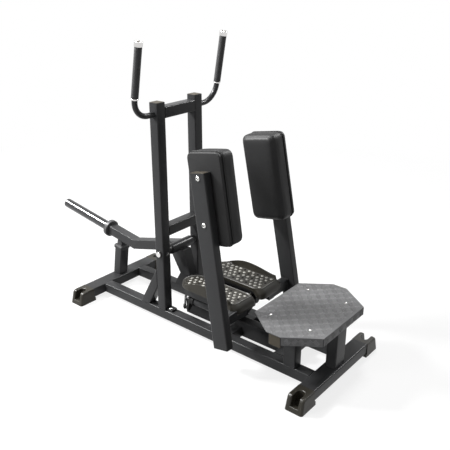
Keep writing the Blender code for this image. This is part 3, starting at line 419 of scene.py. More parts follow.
# %% A finish and its patterns
class Finish(Graph):
    """A Principled material and the nodes that vary it."""

    def __init__(self, name, colour, metallic=0.0, specular=0.5):
        self.material = bpy.data.materials.new(name)
        super().__init__(self.material)
        self.shader = self.tree.nodes["Principled BSDF"]
        self.colour = colour
        self.feed(self.shader, {"Metallic": metallic, "Specular IOR Level": specular})
        self.place = self.node("ShaderNodeTexCoord", output="Object")

    def noise(self, scale, detail=3.0, rough=0.5, stretch=(1, 1, 1)):
        """Cloudy pattern from 0 to 1, about `scale` lumps a metre."""
        place = self.node("ShaderNodeMapping", {}, {"Vector": self.place, "Scale": stretch})
        return self.node("ShaderNodeTexNoise", {}, {"Vector": place, "Scale": scale,
                                                    "Detail": detail, "Roughness": rough})

    def cells(self, scale):
        """Soft-edged distance to the nearest of about `scale` points a metre."""
        return self.node("ShaderNodeTexVoronoi", {"feature": "SMOOTH_F1"},
                         {"Vector": self.place, "Scale": scale}, output="Distance")

    def vary(self, mask, dark, light, roughness):
        """Colour from `dark` to `light` times its plain value as the mask goes from 0 to 1."""
        first, second = ((*(channel * factor for channel in self.colour), 1.0) for factor in (dark, light))
        mixed = self.node("ShaderNodeMix", {"data_type": "RGBA"}, {0: mask, 6: first, 7: second}, output=2)
        self.feed(self.shader, {"Base Color": mixed, "Roughness": roughness})

    def bump(self, height, depth):
        """Normals tilted by a height pattern; depth is the height of 1, in metres."""
        normal = self.node("ShaderNodeBump", {}, {"Height": height, "Distance": depth})
        self.feed(self.shader, {"Normal": normal})


print("made", Finish.__name__)

# %% [markdown]
# ## Satin powder coat, and the other metals
# Powder coat melts into a skin with a faint orange peel: a bump a tenth of a millimetre deep with
# lumps about two millimetres apart, over a finer grain. Its colour hardly varies, and its gloss
# varies a little where it cured thicker. Chrome is smooth, with only faint polishing lines.

# %% Metal finishes
def painted(name, colour, roughness):
    """Powder coat: cloudy colour and gloss, with orange peel and grain in the bump."""
    finish = Finish(name, colour, specular=0.14)
    clouds = finish.noise(9.0, 4.0)
    finish.vary(clouds, 0.88, 1.12, roughness - 0.06 + 0.12 * clouds)
    finish.bump(finish.noise(480.0, 2.0) + 0.45 * finish.noise(2400.0, 2.0), 0.00012)
    return finish.material


def polished(name, colour, roughness):
    """Plated or turned metal: faint lines, packed 14 times closer along Z."""
    finish = Finish(name, colour, metallic=1.0)
    lines = finish.noise(60.0, 3.0, 0.6, (1, 1, 14))
    finish.vary(lines, 0.94, 1.0, roughness + 0.05 * lines)
    finish.bump(lines, 0.000001)
    return finish.material


PAINT = painted("charcoal_powder_coat", (0.046, 0.0465, 0.048), 0.30)
# Near-black paint that stands in for shade: painted shade on the linkage under the pedals, in the bolt
# sockets and in the step's corner slits. The axle and its washers use it too.
SHADOWED = painted("near_black_painted_shade", (0.016, 0.016, 0.016), 0.42)
# Near-black for the discs in the pedals' drain holes: painted shade.
BORE_BLACK = painted("unlit_bore_black", (0.0015, 0.0015, 0.0015), 0.85)
GREY_PAINT = painted("grey_collar_paint", (0.12, 0.12, 0.122), 0.36)
CHROME = polished("polished_chrome", (0.70, 0.69, 0.68), 0.10)
# The horn's chrome is given a dark colour: a painted reflection of dark surroundings for its bands.
HORN_PAINTED_REFLECTION = polished("hard_chrome_painted_dark_reflection", (0.10, 0.10, 0.103), 0.14)
STEEL = polished("machined_steel", (0.42, 0.42, 0.43), 0.32)
ZINC = polished("bright_zinc", (0.60, 0.595, 0.58), 0.20)
print("metals", PAINT.name, CHROME.name, GREY_PAINT.name, STEEL.name)

# %% [markdown]
# ## Tread plate, plastic, rubber and vinyl
# The moulded plastic is brown-black with a fine spark-eroded grain. The rubber is duller. The vinyl
# of the pads has a pebble grain of about a millimetre: cells with soft valleys between them.

# %% Tread plate, plastic, rubber and vinyl
def tread_paint(name, colour):
    """Painted tread plate: cloudy, with a fine grain."""
    finish = Finish(name, colour, specular=0.25)
    clouds = finish.noise(14.0, 5.0)
    finish.vary(clouds, 0.90, 1.10, 0.42 + 0.12 * clouds)
    finish.bump(finish.noise(1500.0, 2.0), 0.00008)
    return finish.material


def moulded(name, colour, roughness, grain_size=1300.0, depth=0.00010):
    """Moulded plastic or rubber: cloudy colour, and a grain in the gloss and the bump."""
    finish = Finish(name, colour, specular=0.28)
    grain = finish.noise(grain_size, 3.0, 0.65)
    finish.vary(finish.noise(30.0, 4.0), 0.85, 1.15, roughness - 0.05 + 0.10 * grain)
    finish.bump(grain, depth)
    return finish.material


def vinyl(name, colour):
    """Vinyl: two sizes of cloud in the colour, pebbles in the gloss, pebbles and pores in the bump."""
    finish = Finish(name, colour, specular=0.16)
    pebbles = finish.cells(820.0)
    clouds = 0.5 * finish.noise(11.0, 4.0) + 0.5 * finish.noise(260.0, 2.0)
    finish.vary(clouds, 0.55, 1.45, 0.44 + 0.14 * pebbles)
    finish.bump(0.25 * finish.noise(2600.0, 2.0) - pebbles, 0.00022)
    return finish.material


TREAD = tread_paint("tread_plate_paint", (0.160, 0.160, 0.163))
# Lighter paint on the tread bars' tops: a painted highlight for the light that their tops catch.
TREAD_HIGHLIGHT = tread_paint("tread_tops_painted_highlight", (0.30, 0.30, 0.304))
MOULDING = moulded("brown_black_moulding", (0.031, 0.0278, 0.0205), 0.38)
PLUG = moulded("brown_plug", (0.062, 0.051, 0.034), 0.5)
NUBS = moulded("light_grey_nubs", (0.46, 0.45, 0.41), 0.4, 1800.0, 0.00004)
RUBBER = moulded("black_rubber", (0.040, 0.040, 0.041), 0.62, 900.0, 0.0002)
VINYL = vinyl("black_vinyl", (0.023, 0.023, 0.0235))
BOARD = vinyl("pad_back_vinyl", (0.028, 0.028, 0.0285))
print("plastics", MOULDING.name, RUBBER.name, VINYL.name)

# %% [markdown]
# ## The frame's own pieces
# The square tubes have the right shape already, so they stay as they were packed and only get a
# finish. Their triangles are loose and flat shaded. A Weld modifier joins them again, Edge Split
# parts them where a cut end meets a wall, and weighted normals keep the wide faces flat while the
# rounded edges catch the light. The step's plate also gets a small bevel on its folds, and the
# linkage under the pedals gets a near-black paint that is painted shade for the shadow it lies in.

# %% Finish the imported pieces
SLOT_FINISH = {"charcoal_paint": PAINT, "chrome": CHROME, "grey_paint": GREY_PAINT,
               "tread_plate": TREAD, "brown_black_moulding": MOULDING, "black_rubber": RUBBER,
               "black_vinyl": VINYL, "pad_board": BOARD, "machined_steel": STEEL}
# Pieces under the pedals that take the near-black painted shade instead of their slot's finish.
IN_SHADOW = ("_hinge_bracket", "_crank", "_link_rod", "drop_pin", "_hinge_shaft")
slot_of = {part["node"]: part["material_slot"] for part in frame["record"]["subparts"]}
for name, node in frame["nodes"].items():
    node.data.materials.clear()
    finish = PLUG if name.endswith("_plug") else SLOT_FINISH[slot_of[name]]
    node.data.materials.append(SHADOWED if name.endswith(IN_SHADOW) else finish)
    node.data.shade_smooth()
    weld = node.modifiers.new("join triangles", "WELD")
    weld.merge_threshold = 0.00002
    if name == "step_plate":
        flat = node.modifiers.new("whole faces", "DECIMATE")
        flat.decimate_type = "DISSOLVE"
        flat.angle_limit = np.radians(1)
        rounded = node.modifiers.new("rounded edges", "BEVEL")
        rounded.width = 0.0010
        rounded.segments = 3
        rounded.angle_limit = np.radians(35)
    parted = node.modifiers.new("sharp edges", "EDGE_SPLIT")
    parted.split_angle = np.radians(50)
    node.modifiers.new("flat faces", "WEIGHTED_NORMAL")
print("finished", len(frame["nodes"]), "packed pieces")

# %% [markdown]
# ## Handlebars and grips
# Each handlebar is a 25 mm bar that leaves the upright sideways, turns up through a bend and leans
# back. It is a circle carried along a path whose corner is a curve. The rubber grip is turned, with
# fine rings pressed into it, and a chrome ring and a chrome cap close its ends.

# %% Handlebars
UPRIGHT_Y = 0.023
BAR_RADIUS = 0.0125
BAR_BEND = 0.083
BAR_START = (0.1453, UPRIGHT_Y, 1.024)
BAR_CORNER = np.array([0.261, UPRIGHT_Y, 1.024])
BAR_LEAN = np.array([0, -0.178, 1.0])


def bar_point(z):
    """Point of the raised part's centre line at height z."""
    return BAR_CORNER + BAR_LEAN * (z - BAR_CORNER[2])


GRIP_START = bar_point(1.114)
GRIP_END = bar_point(1.3225)
GRIP_LENGTH = np.linalg.norm(GRIP_END - GRIP_START)
RING_PROFILE = softened([(0.0122, -0.0068), (0.0162, -0.0068), (0.0168, -0.0040), (0.0162, -0.0004),
                         (0.0122, -0.0004)], 0.0012)
for label, side in SIDES:
    bar = round_bar(arced([BAR_START, BAR_CORNER, bar_point(1.3215)], BAR_BEND), BAR_RADIUS)
    build(label + "_handlebar_tube", on_side(bar, side), PAINT, "base",
          [label + "_handlebar"])
    ring = turned(RING_PROFILE, GRIP_START, BAR_LEAN, 64)
    build(label + "_grip_ring", on_side(ring, side), CHROME, "base")
print("grip length", round(GRIP_LENGTH, 4))

# %% Grips and their caps
GRIP_RADIUS = 0.0162


def grip_profile():
    """Sleeve: radius R - d, where d is 0.18 mm (1 - cos), a shallow rib every 4.2 mm."""
    height = np.linspace(0.0035, GRIP_LENGTH - 0.0035, 420)
    ribs = 0.00018 * (1 - np.cos(2 * np.pi * height / 0.0042))
    sleeve = np.stack([GRIP_RADIUS - ribs, height], axis=1)
    low = [(0.0128, 0.0003), (GRIP_RADIUS - 0.0012, 0.0003), (GRIP_RADIUS - 0.0001, 0.0014)]
    high = [(radius, GRIP_LENGTH - along) for radius, along in reversed(low)]
    return np.vstack([low, sleeve, high])


CAP_PROFILE = softened([(0.0098, -0.010), (0.0098, 0.0003), (0.0182, 0.0003), (0.0182, 0.0190),
                        (0.0170, 0.0212), (0.0145, 0.0216), (0.0136, 0.0200), (0.0006, 0.0196)], 0.0008)
CAP_DISC = softened([(0.0130, 0.0192), (0.0130, 0.0202), (0.0006, 0.0204)], 0.0006)
for label, side in SIDES:
    grip = on_side(turned(grip_profile(), GRIP_START, BAR_LEAN, 48), side)
    build(label + "_grip_sleeve", grip, RUBBER, "base", [label + "_grip"], 60)
    cap = on_side(turned(CAP_PROFILE, GRIP_END, BAR_LEAN, 64), side)
    build(label + "_grip_end", cap, CHROME, "base", [label + "_grip_cap"])
    disc = on_side(turned(CAP_DISC, GRIP_END, BAR_LEAN, 48), side)
    build(label + "_grip_end_disc", disc, PLUG, "base")

# %% [markdown]
# ## The weight arm's round pieces
# The horn is a hardened chrome bar for plates, with a dark mouth at its end where the bar is
# hollow. Its chrome is given a dark colour, a painted reflection of dark surroundings. The grey
# collar stops the plates. Both are turned about the line of the horn, and so are the sleeve and
# the axle about theirs.

# %% Horn, collar and sleeve
ARM_PIVOT = np.array([0, 0.023, 0.3615])
ARM_BEND = np.array([0, 0.337, 0.2785])
COLLAR = np.array([0, 0.5366, 0.311])
HORN_LINE = (COLLAR - ARM_BEND) / np.linalg.norm(COLLAR - ARM_BEND)
HORN_RADIUS = 0.025
HORN_MOUTH = 0.020
HORN_START = COLLAR - HORN_LINE * 0.0097
HORN_LENGTH = (0.9005 - HORN_START[1] - HORN_RADIUS * HORN_LINE[2]) / HORN_LINE[1]

horn_profile = softened([(0.0205, 0.0), (HORN_RADIUS, 0.0), (HORN_RADIUS, HORN_LENGTH - 0.0022),
                         (HORN_RADIUS - 0.0018, HORN_LENGTH), (HORN_MOUTH, HORN_LENGTH),
                         (HORN_MOUTH - 0.001, HORN_LENGTH - 0.010), (0.0006, HORN_LENGTH - 0.010)], 0.0014)
build("plate_horn", turned(horn_profile, HORN_START, HORN_LINE, 96), HORN_PAINTED_REFLECTION, "weight_arm",
      ["weight_horn"])
collar_profile = softened([(0.0256, 0.0003), (0.0262, 0.0), (0.0445, 0.0), (0.0450, 0.0100),
                           (0.0445, 0.0200), (0.0262, 0.0200), (0.0256, 0.0197)], 0.0022)
build("plate_collar", turned(collar_profile, COLLAR - HORN_LINE * 0.010, HORN_LINE, 96, True), GREY_PAINT,
      "weight_arm", ["horn_collar"])
sleeve_profile = softened([(0.0112, -0.0700), (0.0250, -0.0700), (0.0250, 0.0700), (0.0112, 0.0700)],
                          0.0016)
build("pivot_sleeve", turned(sleeve_profile, ARM_PIVOT, (1, 0, 0), 96), PAINT, "weight_arm",
      ["arm_sleeve"])
print("horn length", round(HORN_LENGTH, 4))

# %% Axle
AXLE_END = np.array([0.145, 0.023, 0.3615])
core = [(0.0100, -0.1450), (0.0100, -0.0946), (0.0205, -0.0946), (0.0205, -0.0704), (0.0100, -0.0704),
        (0.0100, 0.0704), (0.0205, 0.0704), (0.0205, 0.0946), (0.0100, 0.0946), (0.0100, 0.1450)]
axle = turned(softened(core, 0.0010), ARM_PIVOT, (1, 0, 0))
washer_line = softened([(0.0098, 0.0003), (0.0190, 0.0003), (0.0190, 0.0028), (0.0098, 0.0028)], 0.0006)
washers = [on_side(turned(washer_line, AXLE_END, (1, 0, 0)), side) for _, side in SIDES]
build("axle_and_washers", join(axle, *washers), SHADOWED, "base", ["arm_axle"])
head_line = softened([(0.0098, 0.0003), (0.0138, 0.0003), (0.0138, 0.00544), (0.0120, 0.0068),
                      (0.0006, 0.0068)], 0.0011)
heads = [on_side(turned(head_line, AXLE_END + (0.0026, 0, 0), (1, 0, 0)), side) for _, side in SIDES]
build("axle_heads", join(*heads), CHROME, "base")

# %% [markdown]
# ## The rubber stop
# The weight arm rests on a rubber block that caps its post: a broad bevelled base with a narrower
# pad on it. Rings follow a softened profile of height and inset, square to the arm.

# %% Rubber stop
STOP_FOOT = np.array([0, 0.482, 0.0663])
STOP_UP = np.array([0, -HORN_LINE[2], HORN_LINE[1]])
STOP_ACROSS = np.array([0, STOP_UP[2], -STOP_UP[1]])
STOP_HALF = np.array([0.033, 0.030])
ARM_HALF = 0.025
to_arm = (ARM_BEND - STOP_FOOT) @ STOP_UP - ARM_HALF
stop_line = softened([(0.1553, 0.0120), (0.1553, 0.0025), (0.1600, 0.0), (0.1715, 0.0), (0.1762, 0.0036),
                      (0.1768, 0.0112), (to_arm - 0.0045, 0.0125), (to_arm - 0.0008, 0.0165),
                      (to_arm - 0.0008, 0.0250)], 0.0016)


def stop_ring(height, inset):
    """A rounded rectangle, smaller by the inset, square to the post at a height along it."""
    flat = evenly(rounded_outline(-STOP_HALF + inset, STOP_HALF - inset, (0.008 - inset * 0.2,) * 4), 96)
    return STOP_FOOT + STOP_UP * height + flat[:, :1] * (1, 0, 0) + flat[:, 1:] * STOP_ACROSS


build("rubber_stop", skin([stop_ring(height, inset) for height, inset in stop_line]), RUBBER, "base",
      ["rubber_bumper"], 60)

# %% [markdown]
# ## Bolts
# A button head is a low dome with a hexagon socket sunk in its middle. Turning a profile makes the
# dome, and a factor on the radius makes the socket six-sided: for the angle t from the middle of a
# flat, a hexagon lies at 1 / cos(t) of its inner radius.

# %% Button heads
def hexagon(sides):
    """Radius factor of a hexagon at each of the sides' angles."""
    from_flat = (full_turn(sides) + np.pi / 6) % (np.pi / 3) - np.pi / 6
    return 1 / np.cos(from_flat)


def button_head(seat, axis, radius, height, sides=48):
    """Dome height h (1 - (r/R)^2.4) above its rim, with a hexagon socket of 0.36 R."""
    reach = np.linspace(1.0, 0.46, 9)
    dome = np.stack([radius * reach, height * 0.35 + height * 0.65 * (1 - reach ** 2.4)], axis=1)
    top = dome[-1, 1]
    socket = [(radius * 0.40, top), (radius * 0.36, top - 0.0004), (radius * 0.34, top - height * 0.5),
              (radius * 0.05, top - height * 0.55)]
    profile = np.vstack([[(radius * 0.4, 0.0002), (radius, 0.0002)], dome, socket])
    lobes = np.ones((len(profile), sides))
    lobes[-3:] = hexagon(sides)
    return turned(profile, seat, axis, sides, lobes=lobes)


def socket_shade_disc(seat, axis, radius, height):
    """Painted shade in a socket: a disc of 0.35 R a little below the dome's top, in the near-black paint."""
    level = height * 0.80
    return turned([(0.0004, level - 0.0010), (radius * 0.345, level - 0.0010), (radius * 0.345, level),
                   (0.0004, level)], seat, axis, 24)


FRAME_BOLTS = (((0.117, UPRIGHT_Y - 0.0253, 0.358), (0, -1, 0), 0.0105, 0.0075),
               ((0.1256, -0.020, 0.0762), (0, 0, 1), 0.0082, 0.0062))
for label, side in SIDES:
    fixings = join(*[on_side(button_head(*bolt), side) for bolt in FRAME_BOLTS])
    build(label + "_frame_bolts", fixings, ZINC, "base")
    # A near-black disc in each socket: painted shade.
    socket_shades = join(*[on_side(socket_shade_disc(*bolt), side) for bolt in FRAME_BOLTS])
    build(label + "_frame_bolt_socket_shade", socket_shades, SHADOWED, "base")

STEP_TOP = 0.2770
STEP_BOLTS = ((0.140, -0.622), (-0.140, -0.622), (0.140, -0.815), (-0.140, -0.815))
for number, (x, y) in enumerate(STEP_BOLTS, 1):
    head = button_head((x, y, STEP_TOP), (0, 0, 1), 0.0058, 0.0038)
    shank = turned([(0.004, -0.024), (0.004, 0.0005)], (x, y, STEP_TOP), (0, 0, 1), 24)
    build("step_screw_%d" % number, join(head, shank), CHROME, "base",
          ["step_bolt_%d" % number])

# %% [markdown]
# ## Foot caps
# Each crossbar ends in a moulded cap with a sloped end and a niche for a floor bolt. The block is a
# stack of rounded rectangles that shrink towards the top. The niche is carved out of it by a cutter
# that flares at its mouth and at its top, which leaves the round rim that catches the light.

# %% Foot cap blocks
BAR_LOW, BAR_TOP = (corner[2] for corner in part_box("front_crossbar"))
CAP_FOOT = np.array([0.312, 0.042])
CAP_HEAD = np.array([0.296, 0.0395])
END_ROUND, SIDE_ROUND = 0.013, 0.004


def cap_reach(z):
    """Reach of the end and half width at height z: a slope, then a quarter round under the top."""
    slope = CAP_FOOT + (CAP_HEAD - CAP_FOOT) * z / BAR_TOP
    rise = np.clip((z - BAR_TOP + END_ROUND) / END_ROUND, 0, 1)
    return slope - np.array([END_ROUND * 0.8, SIDE_ROUND]) * (1 - np.sqrt(1 - rise ** 2))


def cap_block(bar_end):
    """Rings from the floor to the top, with a lip that reaches 6 mm under the bar."""
    under, beside = bar_end - 0.006, bar_end + 0.0003
    levels = [(0.0, under), (BAR_LOW - 0.0003, under), (BAR_LOW - 0.0003, beside)]
    quarter = np.linspace(0, np.pi / 2, 9)
    levels += [(BAR_TOP - END_ROUND + END_ROUND * rise, beside) for rise in np.sin(quarter)]
    rings = []
    for z, inner in levels:
        reach, half = cap_reach(z)
        flat = rounded_outline((inner, -half), (reach, half), (0.0010, 0.010, 0.010, 0.0010))
        rings.append(level_ring(flat, z))
    return skin(rings)


print("cap's end from", cap_reach(0.0).round(4), "to", cap_reach(BAR_TOP).round(4))

# %% The niche and its ledge
NICHE_HALF, NICHE_CENTRE, LEDGE, RIM = 0.0175, 0.045, 0.020, 0.0045


def niche(centre):
    """Half-round niche, open at the end and the top, 4.5 mm wider at the top along a quarter circle."""
    quarter = np.linspace(0, np.pi / 2, 7)
    half_turn = np.linspace(-np.pi / 2, -3 * np.pi / 2, 25)
    levels = [(LEDGE, 0.0), (LEDGE + 0.010, 0.0)]
    levels += [(BAR_TOP - RIM + RIM * np.sin(t), RIM * (1 - np.cos(t))) for t in quarter]
    levels += [(BAR_TOP + 0.010, RIM)]
    rings = []
    for z, spread in levels:
        mouth = cap_reach(min(z, BAR_TOP))[0]
        half = NICHE_HALF + spread
        low = np.array([mouth - RIM, -half - RIM]) + RIM * on_circle(quarter)
        rear = np.array([centre, 0]) + half * on_circle(half_turn)
        out = np.array([(mouth + 0.03, half + RIM), (mouth + 0.03, -half - RIM)])
        rings.append(level_ring(np.vstack([low, rear, low[::-1] * (1, -1), out]), z))
    return skin(rings)


def ledge_round(radius=0.003):
    """What is above a quarter circle along the front edge of the niche's floor."""
    front = cap_reach(LEDGE)[0]
    arc = np.array([front - radius, LEDGE - radius]) + radius * on_circle(np.linspace(np.pi / 2, 0, 7))
    line = np.vstack([arc, [(front + 0.02, LEDGE - radius), (front + 0.02, LEDGE + 0.002),
                            (front - radius, LEDGE + 0.002)]])
    return skin([np.column_stack([line[:, 0], np.full(len(line), y), line[:, 1]])
                 for y in (-NICHE_HALF - 0.002, NICHE_HALF + 0.002)])


for place in ("front", "rear"):
    low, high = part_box(place + "_crossbar")
    middle = (0, (low[1] + high[1]) / 2, 0)
    centre = high[0] + NICHE_CENTRE
    bolt_hole = turned([(0.0055, -0.01), (0.0055, 0.0150), (0.0092, 0.0150), (0.0092, 0.0300)],
                       (centre + 0.016, 0, 0), (0, 0, 1), 32)
    tongue = np.array([(high[0] - 0.018, -0.0340), (high[0] + 0.004, -0.0340),
                       (high[0] + 0.004, 0.0340), (high[0] - 0.018, 0.0340)])
    insert = slab(tongue, (BAR_LOW + 0.0035, BAR_TOP - 0.0035))
    for label, side in SIDES:
        node = "%s_%s_foot_cap" % (place, label)
        block, *cutters, inner = [on_side(repeat(shape, [middle]), side) for shape in
                                  (cap_block(high[0]), niche(centre), ledge_round(), bolt_hole, insert)]
        cap = build(node + "_moulding", block, MOULDING, "base", [node])
        carve(cap, cutters)
        cap.modifiers.new("flat faces", "WEIGHTED_NORMAL").keep_sharp = True
        build(node + "_insert", inner, MOULDING, "base")

# %% [markdown]
# ## Pedals
# Each pedal is one moulding: a deck, a thin rim round it, a lip on the outer side that rises in a
# smooth hump, and a heel wall that flares out and hangs in front of the cross arm. It is a stack of
# rings that all follow the deck's outline. What changes from ring to ring is how far the ring
# stands out from the outline and how high it is, and both vary round the outline by formula.

# %% Pedal outline and heights
DECK_TOP = 0.2567
DECK_TILT = 0.041
MIDDLE_X = 0.100
INNER_X, OUTER_X = 0.0265, 0.167
HEEL_Y, TOE_Y = -0.437, -0.096
TOE_RADII = (0.080, 0.054)
HEELS = {"right": (0.034, 0.008), "left": (0.008, 0.034)}
AROUND = 260


def pedal_outline(inner_heel, outer_heel):
    """Deck outline with a round corner at each end, as evenly spaced points."""
    corners = rounded_outline((INNER_X, HEEL_Y), (OUTER_X, TOE_Y), (inner_heel, outer_heel) + TOE_RADII)
    return evenly(corners, AROUND)


def smooth_step(value, low, high):
    """0 below low, 1 above high, and 3t^2 - 2t^3 between."""
    t = np.clip((value - low) / (high - low), 0, 1)
    return t * t * (3 - 2 * t)


def lip_height(y):
    """Outer lip: 18 mm level from the heel, falling from s = 0.55 on, plus 19 mm sin(pi t)^1.5."""
    s = (y - HEEL_Y) / (TOE_Y - HEEL_Y)
    hump = np.sin(np.pi * np.clip((s - 0.05) / 0.86, 0, 1))
    return 0.018 * (1 - smooth_step(s, 0.55, 1)) + 0.0192 * np.clip(hump, 0, 1) ** 1.5


def tilted(points):
    """Raise z by the deck's tilt, 41 mm for each metre outward."""
    lift = DECK_TILT * (points[..., 0] - MIDDLE_X)
    return np.concatenate([points[..., :2], (points[..., 2] + lift)[..., None]], axis=-1)


print("highest lip", round(float(lip_height(np.linspace(HEEL_Y, TOE_Y, AROUND)).max()), 4))


# %% The pedal's rings
def pedal_shape(inner_heel, outer_heel):
    """Rings from the underside, out and up the wall, over the rim and across the deck.

    The wall is 15 mm deep, and 46 mm at the heel, where it flares out by 20.5 mm below.
    """
    outline = pedal_outline(inner_heel, outer_heel)
    normal = outward(outline)
    x, y = outline.T
    facing_heel = smooth_step(-normal[:, 1], 0.15, 0.95) * (y < HEEL_Y + 0.05)
    depth = 0.015 + 0.031 * smooth_step(HEEL_Y + 0.048 - y, 0.0, 0.045)
    flare = 0.0205 * facing_heel
    share = smooth_step(x, 0.128, 0.166)
    peak = 0.012 * (inner_heel < 0.02) * (x < 0.06) * np.clip(1 - (y - HEEL_Y) / 0.034, 0, 1) ** 2
    lip = 0.003 + (lip_height(y) - 0.003) * share + peak
    lip = lip * (1 - facing_heel) + 0.0004
    thick = 0.0045 + 0.06 * lip

    def ring(out, height):
        """The outline moved out along its normals, by `out`, at a height."""
        spread = outline + normal * np.broadcast_to(out, x.shape)[:, None]
        return np.column_stack([spread, np.broadcast_to(height, x.shape)])

    bottom = DECK_TOP - depth
    wall = 0.0050
    rings = [ring(-wall - 0.002, DECK_TOP - 0.0080), ring(-wall, DECK_TOP - 0.0100),
             ring(flare * 0.94 - wall, bottom + 0.0015), ring(flare * 0.96 - wall * 0.7, bottom),
             ring(flare * 0.98 - 0.0022, bottom), ring(flare * 0.99 - 0.0008, bottom + 0.0012)]
    for level in np.linspace(0.90, 0.10, 9):
        bulge = flare * np.clip(1 - (1 - level) ** 2.4, 0, 1) + 0.0008 * np.sin(np.pi * level)
        rings.append(ring(bulge - 0.0006 * (1 - level), DECK_TOP - depth * level))
    top = DECK_TOP + lip
    rings += [ring(-0.0004, DECK_TOP - 0.0006), ring(-0.0006 - 0.02 * lip, DECK_TOP + lip * 0.25),
              ring(-0.0010 - 0.06 * lip, DECK_TOP + lip * 0.70), ring(-0.0016 - 0.09 * lip, top - 0.0006),
              ring(-0.0024 - 0.10 * lip, top), ring(-0.0034 - 0.10 * lip, top - 0.0006),
              ring(-0.0040 - 0.11 * lip, top - 0.30 * lip),
              ring(-0.0044 - thick * 0.45, DECK_TOP + 0.30 * lip),
              ring(-0.0052 - thick * 0.62, DECK_TOP + 0.0006), ring(-0.0070 - thick * 0.66, DECK_TOP)]
    deck = rings[-1]
    centre = np.array([(INNER_X + OUTER_X) / 2, (HEEL_Y + TOE_Y) / 2, DECK_TOP])
    rings += [centre + (deck - centre) * share for share in (0.8, 0.55, 0.3, 0.1)]
    under = rings[0]
    below = centre * (1, 1, 0) + (0, 0, DECK_TOP - 0.0080)
    rings = [below + (under - below) * share for share in (0.1, 0.4, 0.75)] + rings
    return skin(tilted(np.array(rings)))


print("pedal points", len(pedal_shape(*HEELS["right"])[0]))

# %% [markdown]
# The deck carries five columns of round nubs 26 mm apart. Neighbouring columns are half a step
# apart, and a few places near the middle are drain holes instead of nubs. The holes and the slot
# for the tube under the heel are drilled out of the moulding, and a near-black disc a little way
# down each hole is painted shade for the hole's dark inside.

# %% Nub places
PITCH = 0.0258
COLUMNS = np.array([0.0544, 0.0774, 0.1004, 0.1234, 0.1464])
FIRST_ROW_Y = -0.2106
NUB_RADIUS = 0.0071
DRAIN_RADIUS = 0.0060
DRAINS = {(0, 2), (0, 5), (1, 4), (2, -1), (2, 2), (2, 5), (2, 8), (2, -4), (3, 4), (4, 2), (4, 5)}


def nub_places(outline):
    """Places (x, y, z) of nubs and holes that lie at least 14 mm inside the outline."""
    nubs, holes = [], []
    for column, x in enumerate(COLUMNS):
        for row in range(-5, 10):
            y = FIRST_ROW_Y - PITCH * row + PITCH / 2 * (column % 2)
            inside = np.linalg.norm(outline - (x, y), axis=1).min() > 0.0140
            if inside and HEEL_Y + 0.008 < y < TOE_Y:
                (holes if (column, row) in DRAINS else nubs).append((x, y, 0))
    return tilted(np.array(nubs)), tilted(np.array(holes))


def on_deck(profile, sides):
    """A profile turned about the vertical at the height of the deck."""
    return turned(profile, (0, 0, DECK_TOP), (0, 0, 1), sides)


def nub():
    """Dome of 14 mm: height 2.4 mm (1 - (r/R)^3)."""
    reach = np.linspace(1.0, 0.08, 8)
    dome = np.stack([NUB_RADIUS * reach, 0.0024 * (1 - reach ** 3)], axis=1)
    return on_deck(np.vstack([[(NUB_RADIUS, -0.0008)], dome]), 20)


print("faces of one nub", len(nub()[1]))

# %% Build the pedals
drill = on_deck([(DRAIN_RADIUS, -0.02), (DRAIN_RADIUS, 0.02)], 20)
# A near-black disc a little way down each drilled hole: painted shade.
hole_shade_disc = on_deck([(0.0004, -0.0030), (DRAIN_RADIUS, -0.0030), (DRAIN_RADIUS, -0.0004), (0.0004, -0.0004)], 16)
arm_slot = slab(np.array([(0.068, -0.4526), (0.210, -0.4526), (0.210, -0.4117), (0.068, -0.4117)]),
                (0.190, 0.2343))
for label, side in SIDES:
    body = label + "_leg"
    nubs, holes = nub_places(pedal_outline(*HEELS[label]))
    moulding = build(label + "_pedal_moulding", on_side(pedal_shape(*HEELS[label]), side), MOULDING, body,
                     [label + "_pedal"], 50)
    carve(moulding, [on_side(join(repeat(drill, holes), arm_slot), side)])
    for name, shape, places, finish in (("nubs", nub(), nubs, NUBS), ("drain_webs", hole_shade_disc, holes, BORE_BLACK)):
        build("%s_pedal_%s" % (label, name), on_side(repeat(shape, places), side), finish, body)
    print(label, "pedal:", len(nubs), "nubs and", len(holes), "holes")

# %% [markdown]
# ## Thigh pads
# A pad is foam under vinyl. The cover is pulled over the foam and stapled to a board, so the face
# is flat in the middle, the edges roll over, and a seam runs round the side near the back. The
# cushion starts as rings a little smaller than the finished pad. A cloth simulation with pressure
# inside blows the cover up against its own stiffness, which rounds it as foam does. The seam is
# sunk afterwards, because the remesh that the cloth needs would smooth it away.

# %% The lever's frame, and the cushion before it is filled
PAD_POINT = Vector((0.2275, -0.351, 0.745))
PAD_HALF = np.array([0.184, 0.395]) / 2
PAD_SHIFT = -0.007
BOARD_THICK, CUSHION_THICK = 0.018, 0.081
CHAMFER, CORNER, SEAM = 0.022, 0.028, 0.054

lever_up = Vector((-0.0244, 0.1808, 1)).normalized()
lever_back = Vector((0, lever_up.z, -lever_up.y)).normalized()
lever_out = lever_back.cross(lever_up)
LEVER = Matrix((lever_out, lever_back, lever_up)).transposed().to_4x4()
LEVER.translation = PAD_POINT


def on_pad(shape, side):
    """A shape given in the pad's frame (out, back, up), put in its place on one side."""
    return on_side(moved(shape, LEVER), side)


def pad_outline(inset, corner, count, steps=12):
    """The pad's rounded rectangle, smaller by the inset all round."""
    half = PAD_HALF - inset
    return evenly(rounded_outline(-half, half, (corner,) * 4, steps), count)


def pad_ring(flat, out):
    """An outline (back, up) as a ring at a distance out."""
    return np.column_stack([np.full(len(flat), out), flat[:, 0] + PAD_SHIFT, flat[:, 1]])


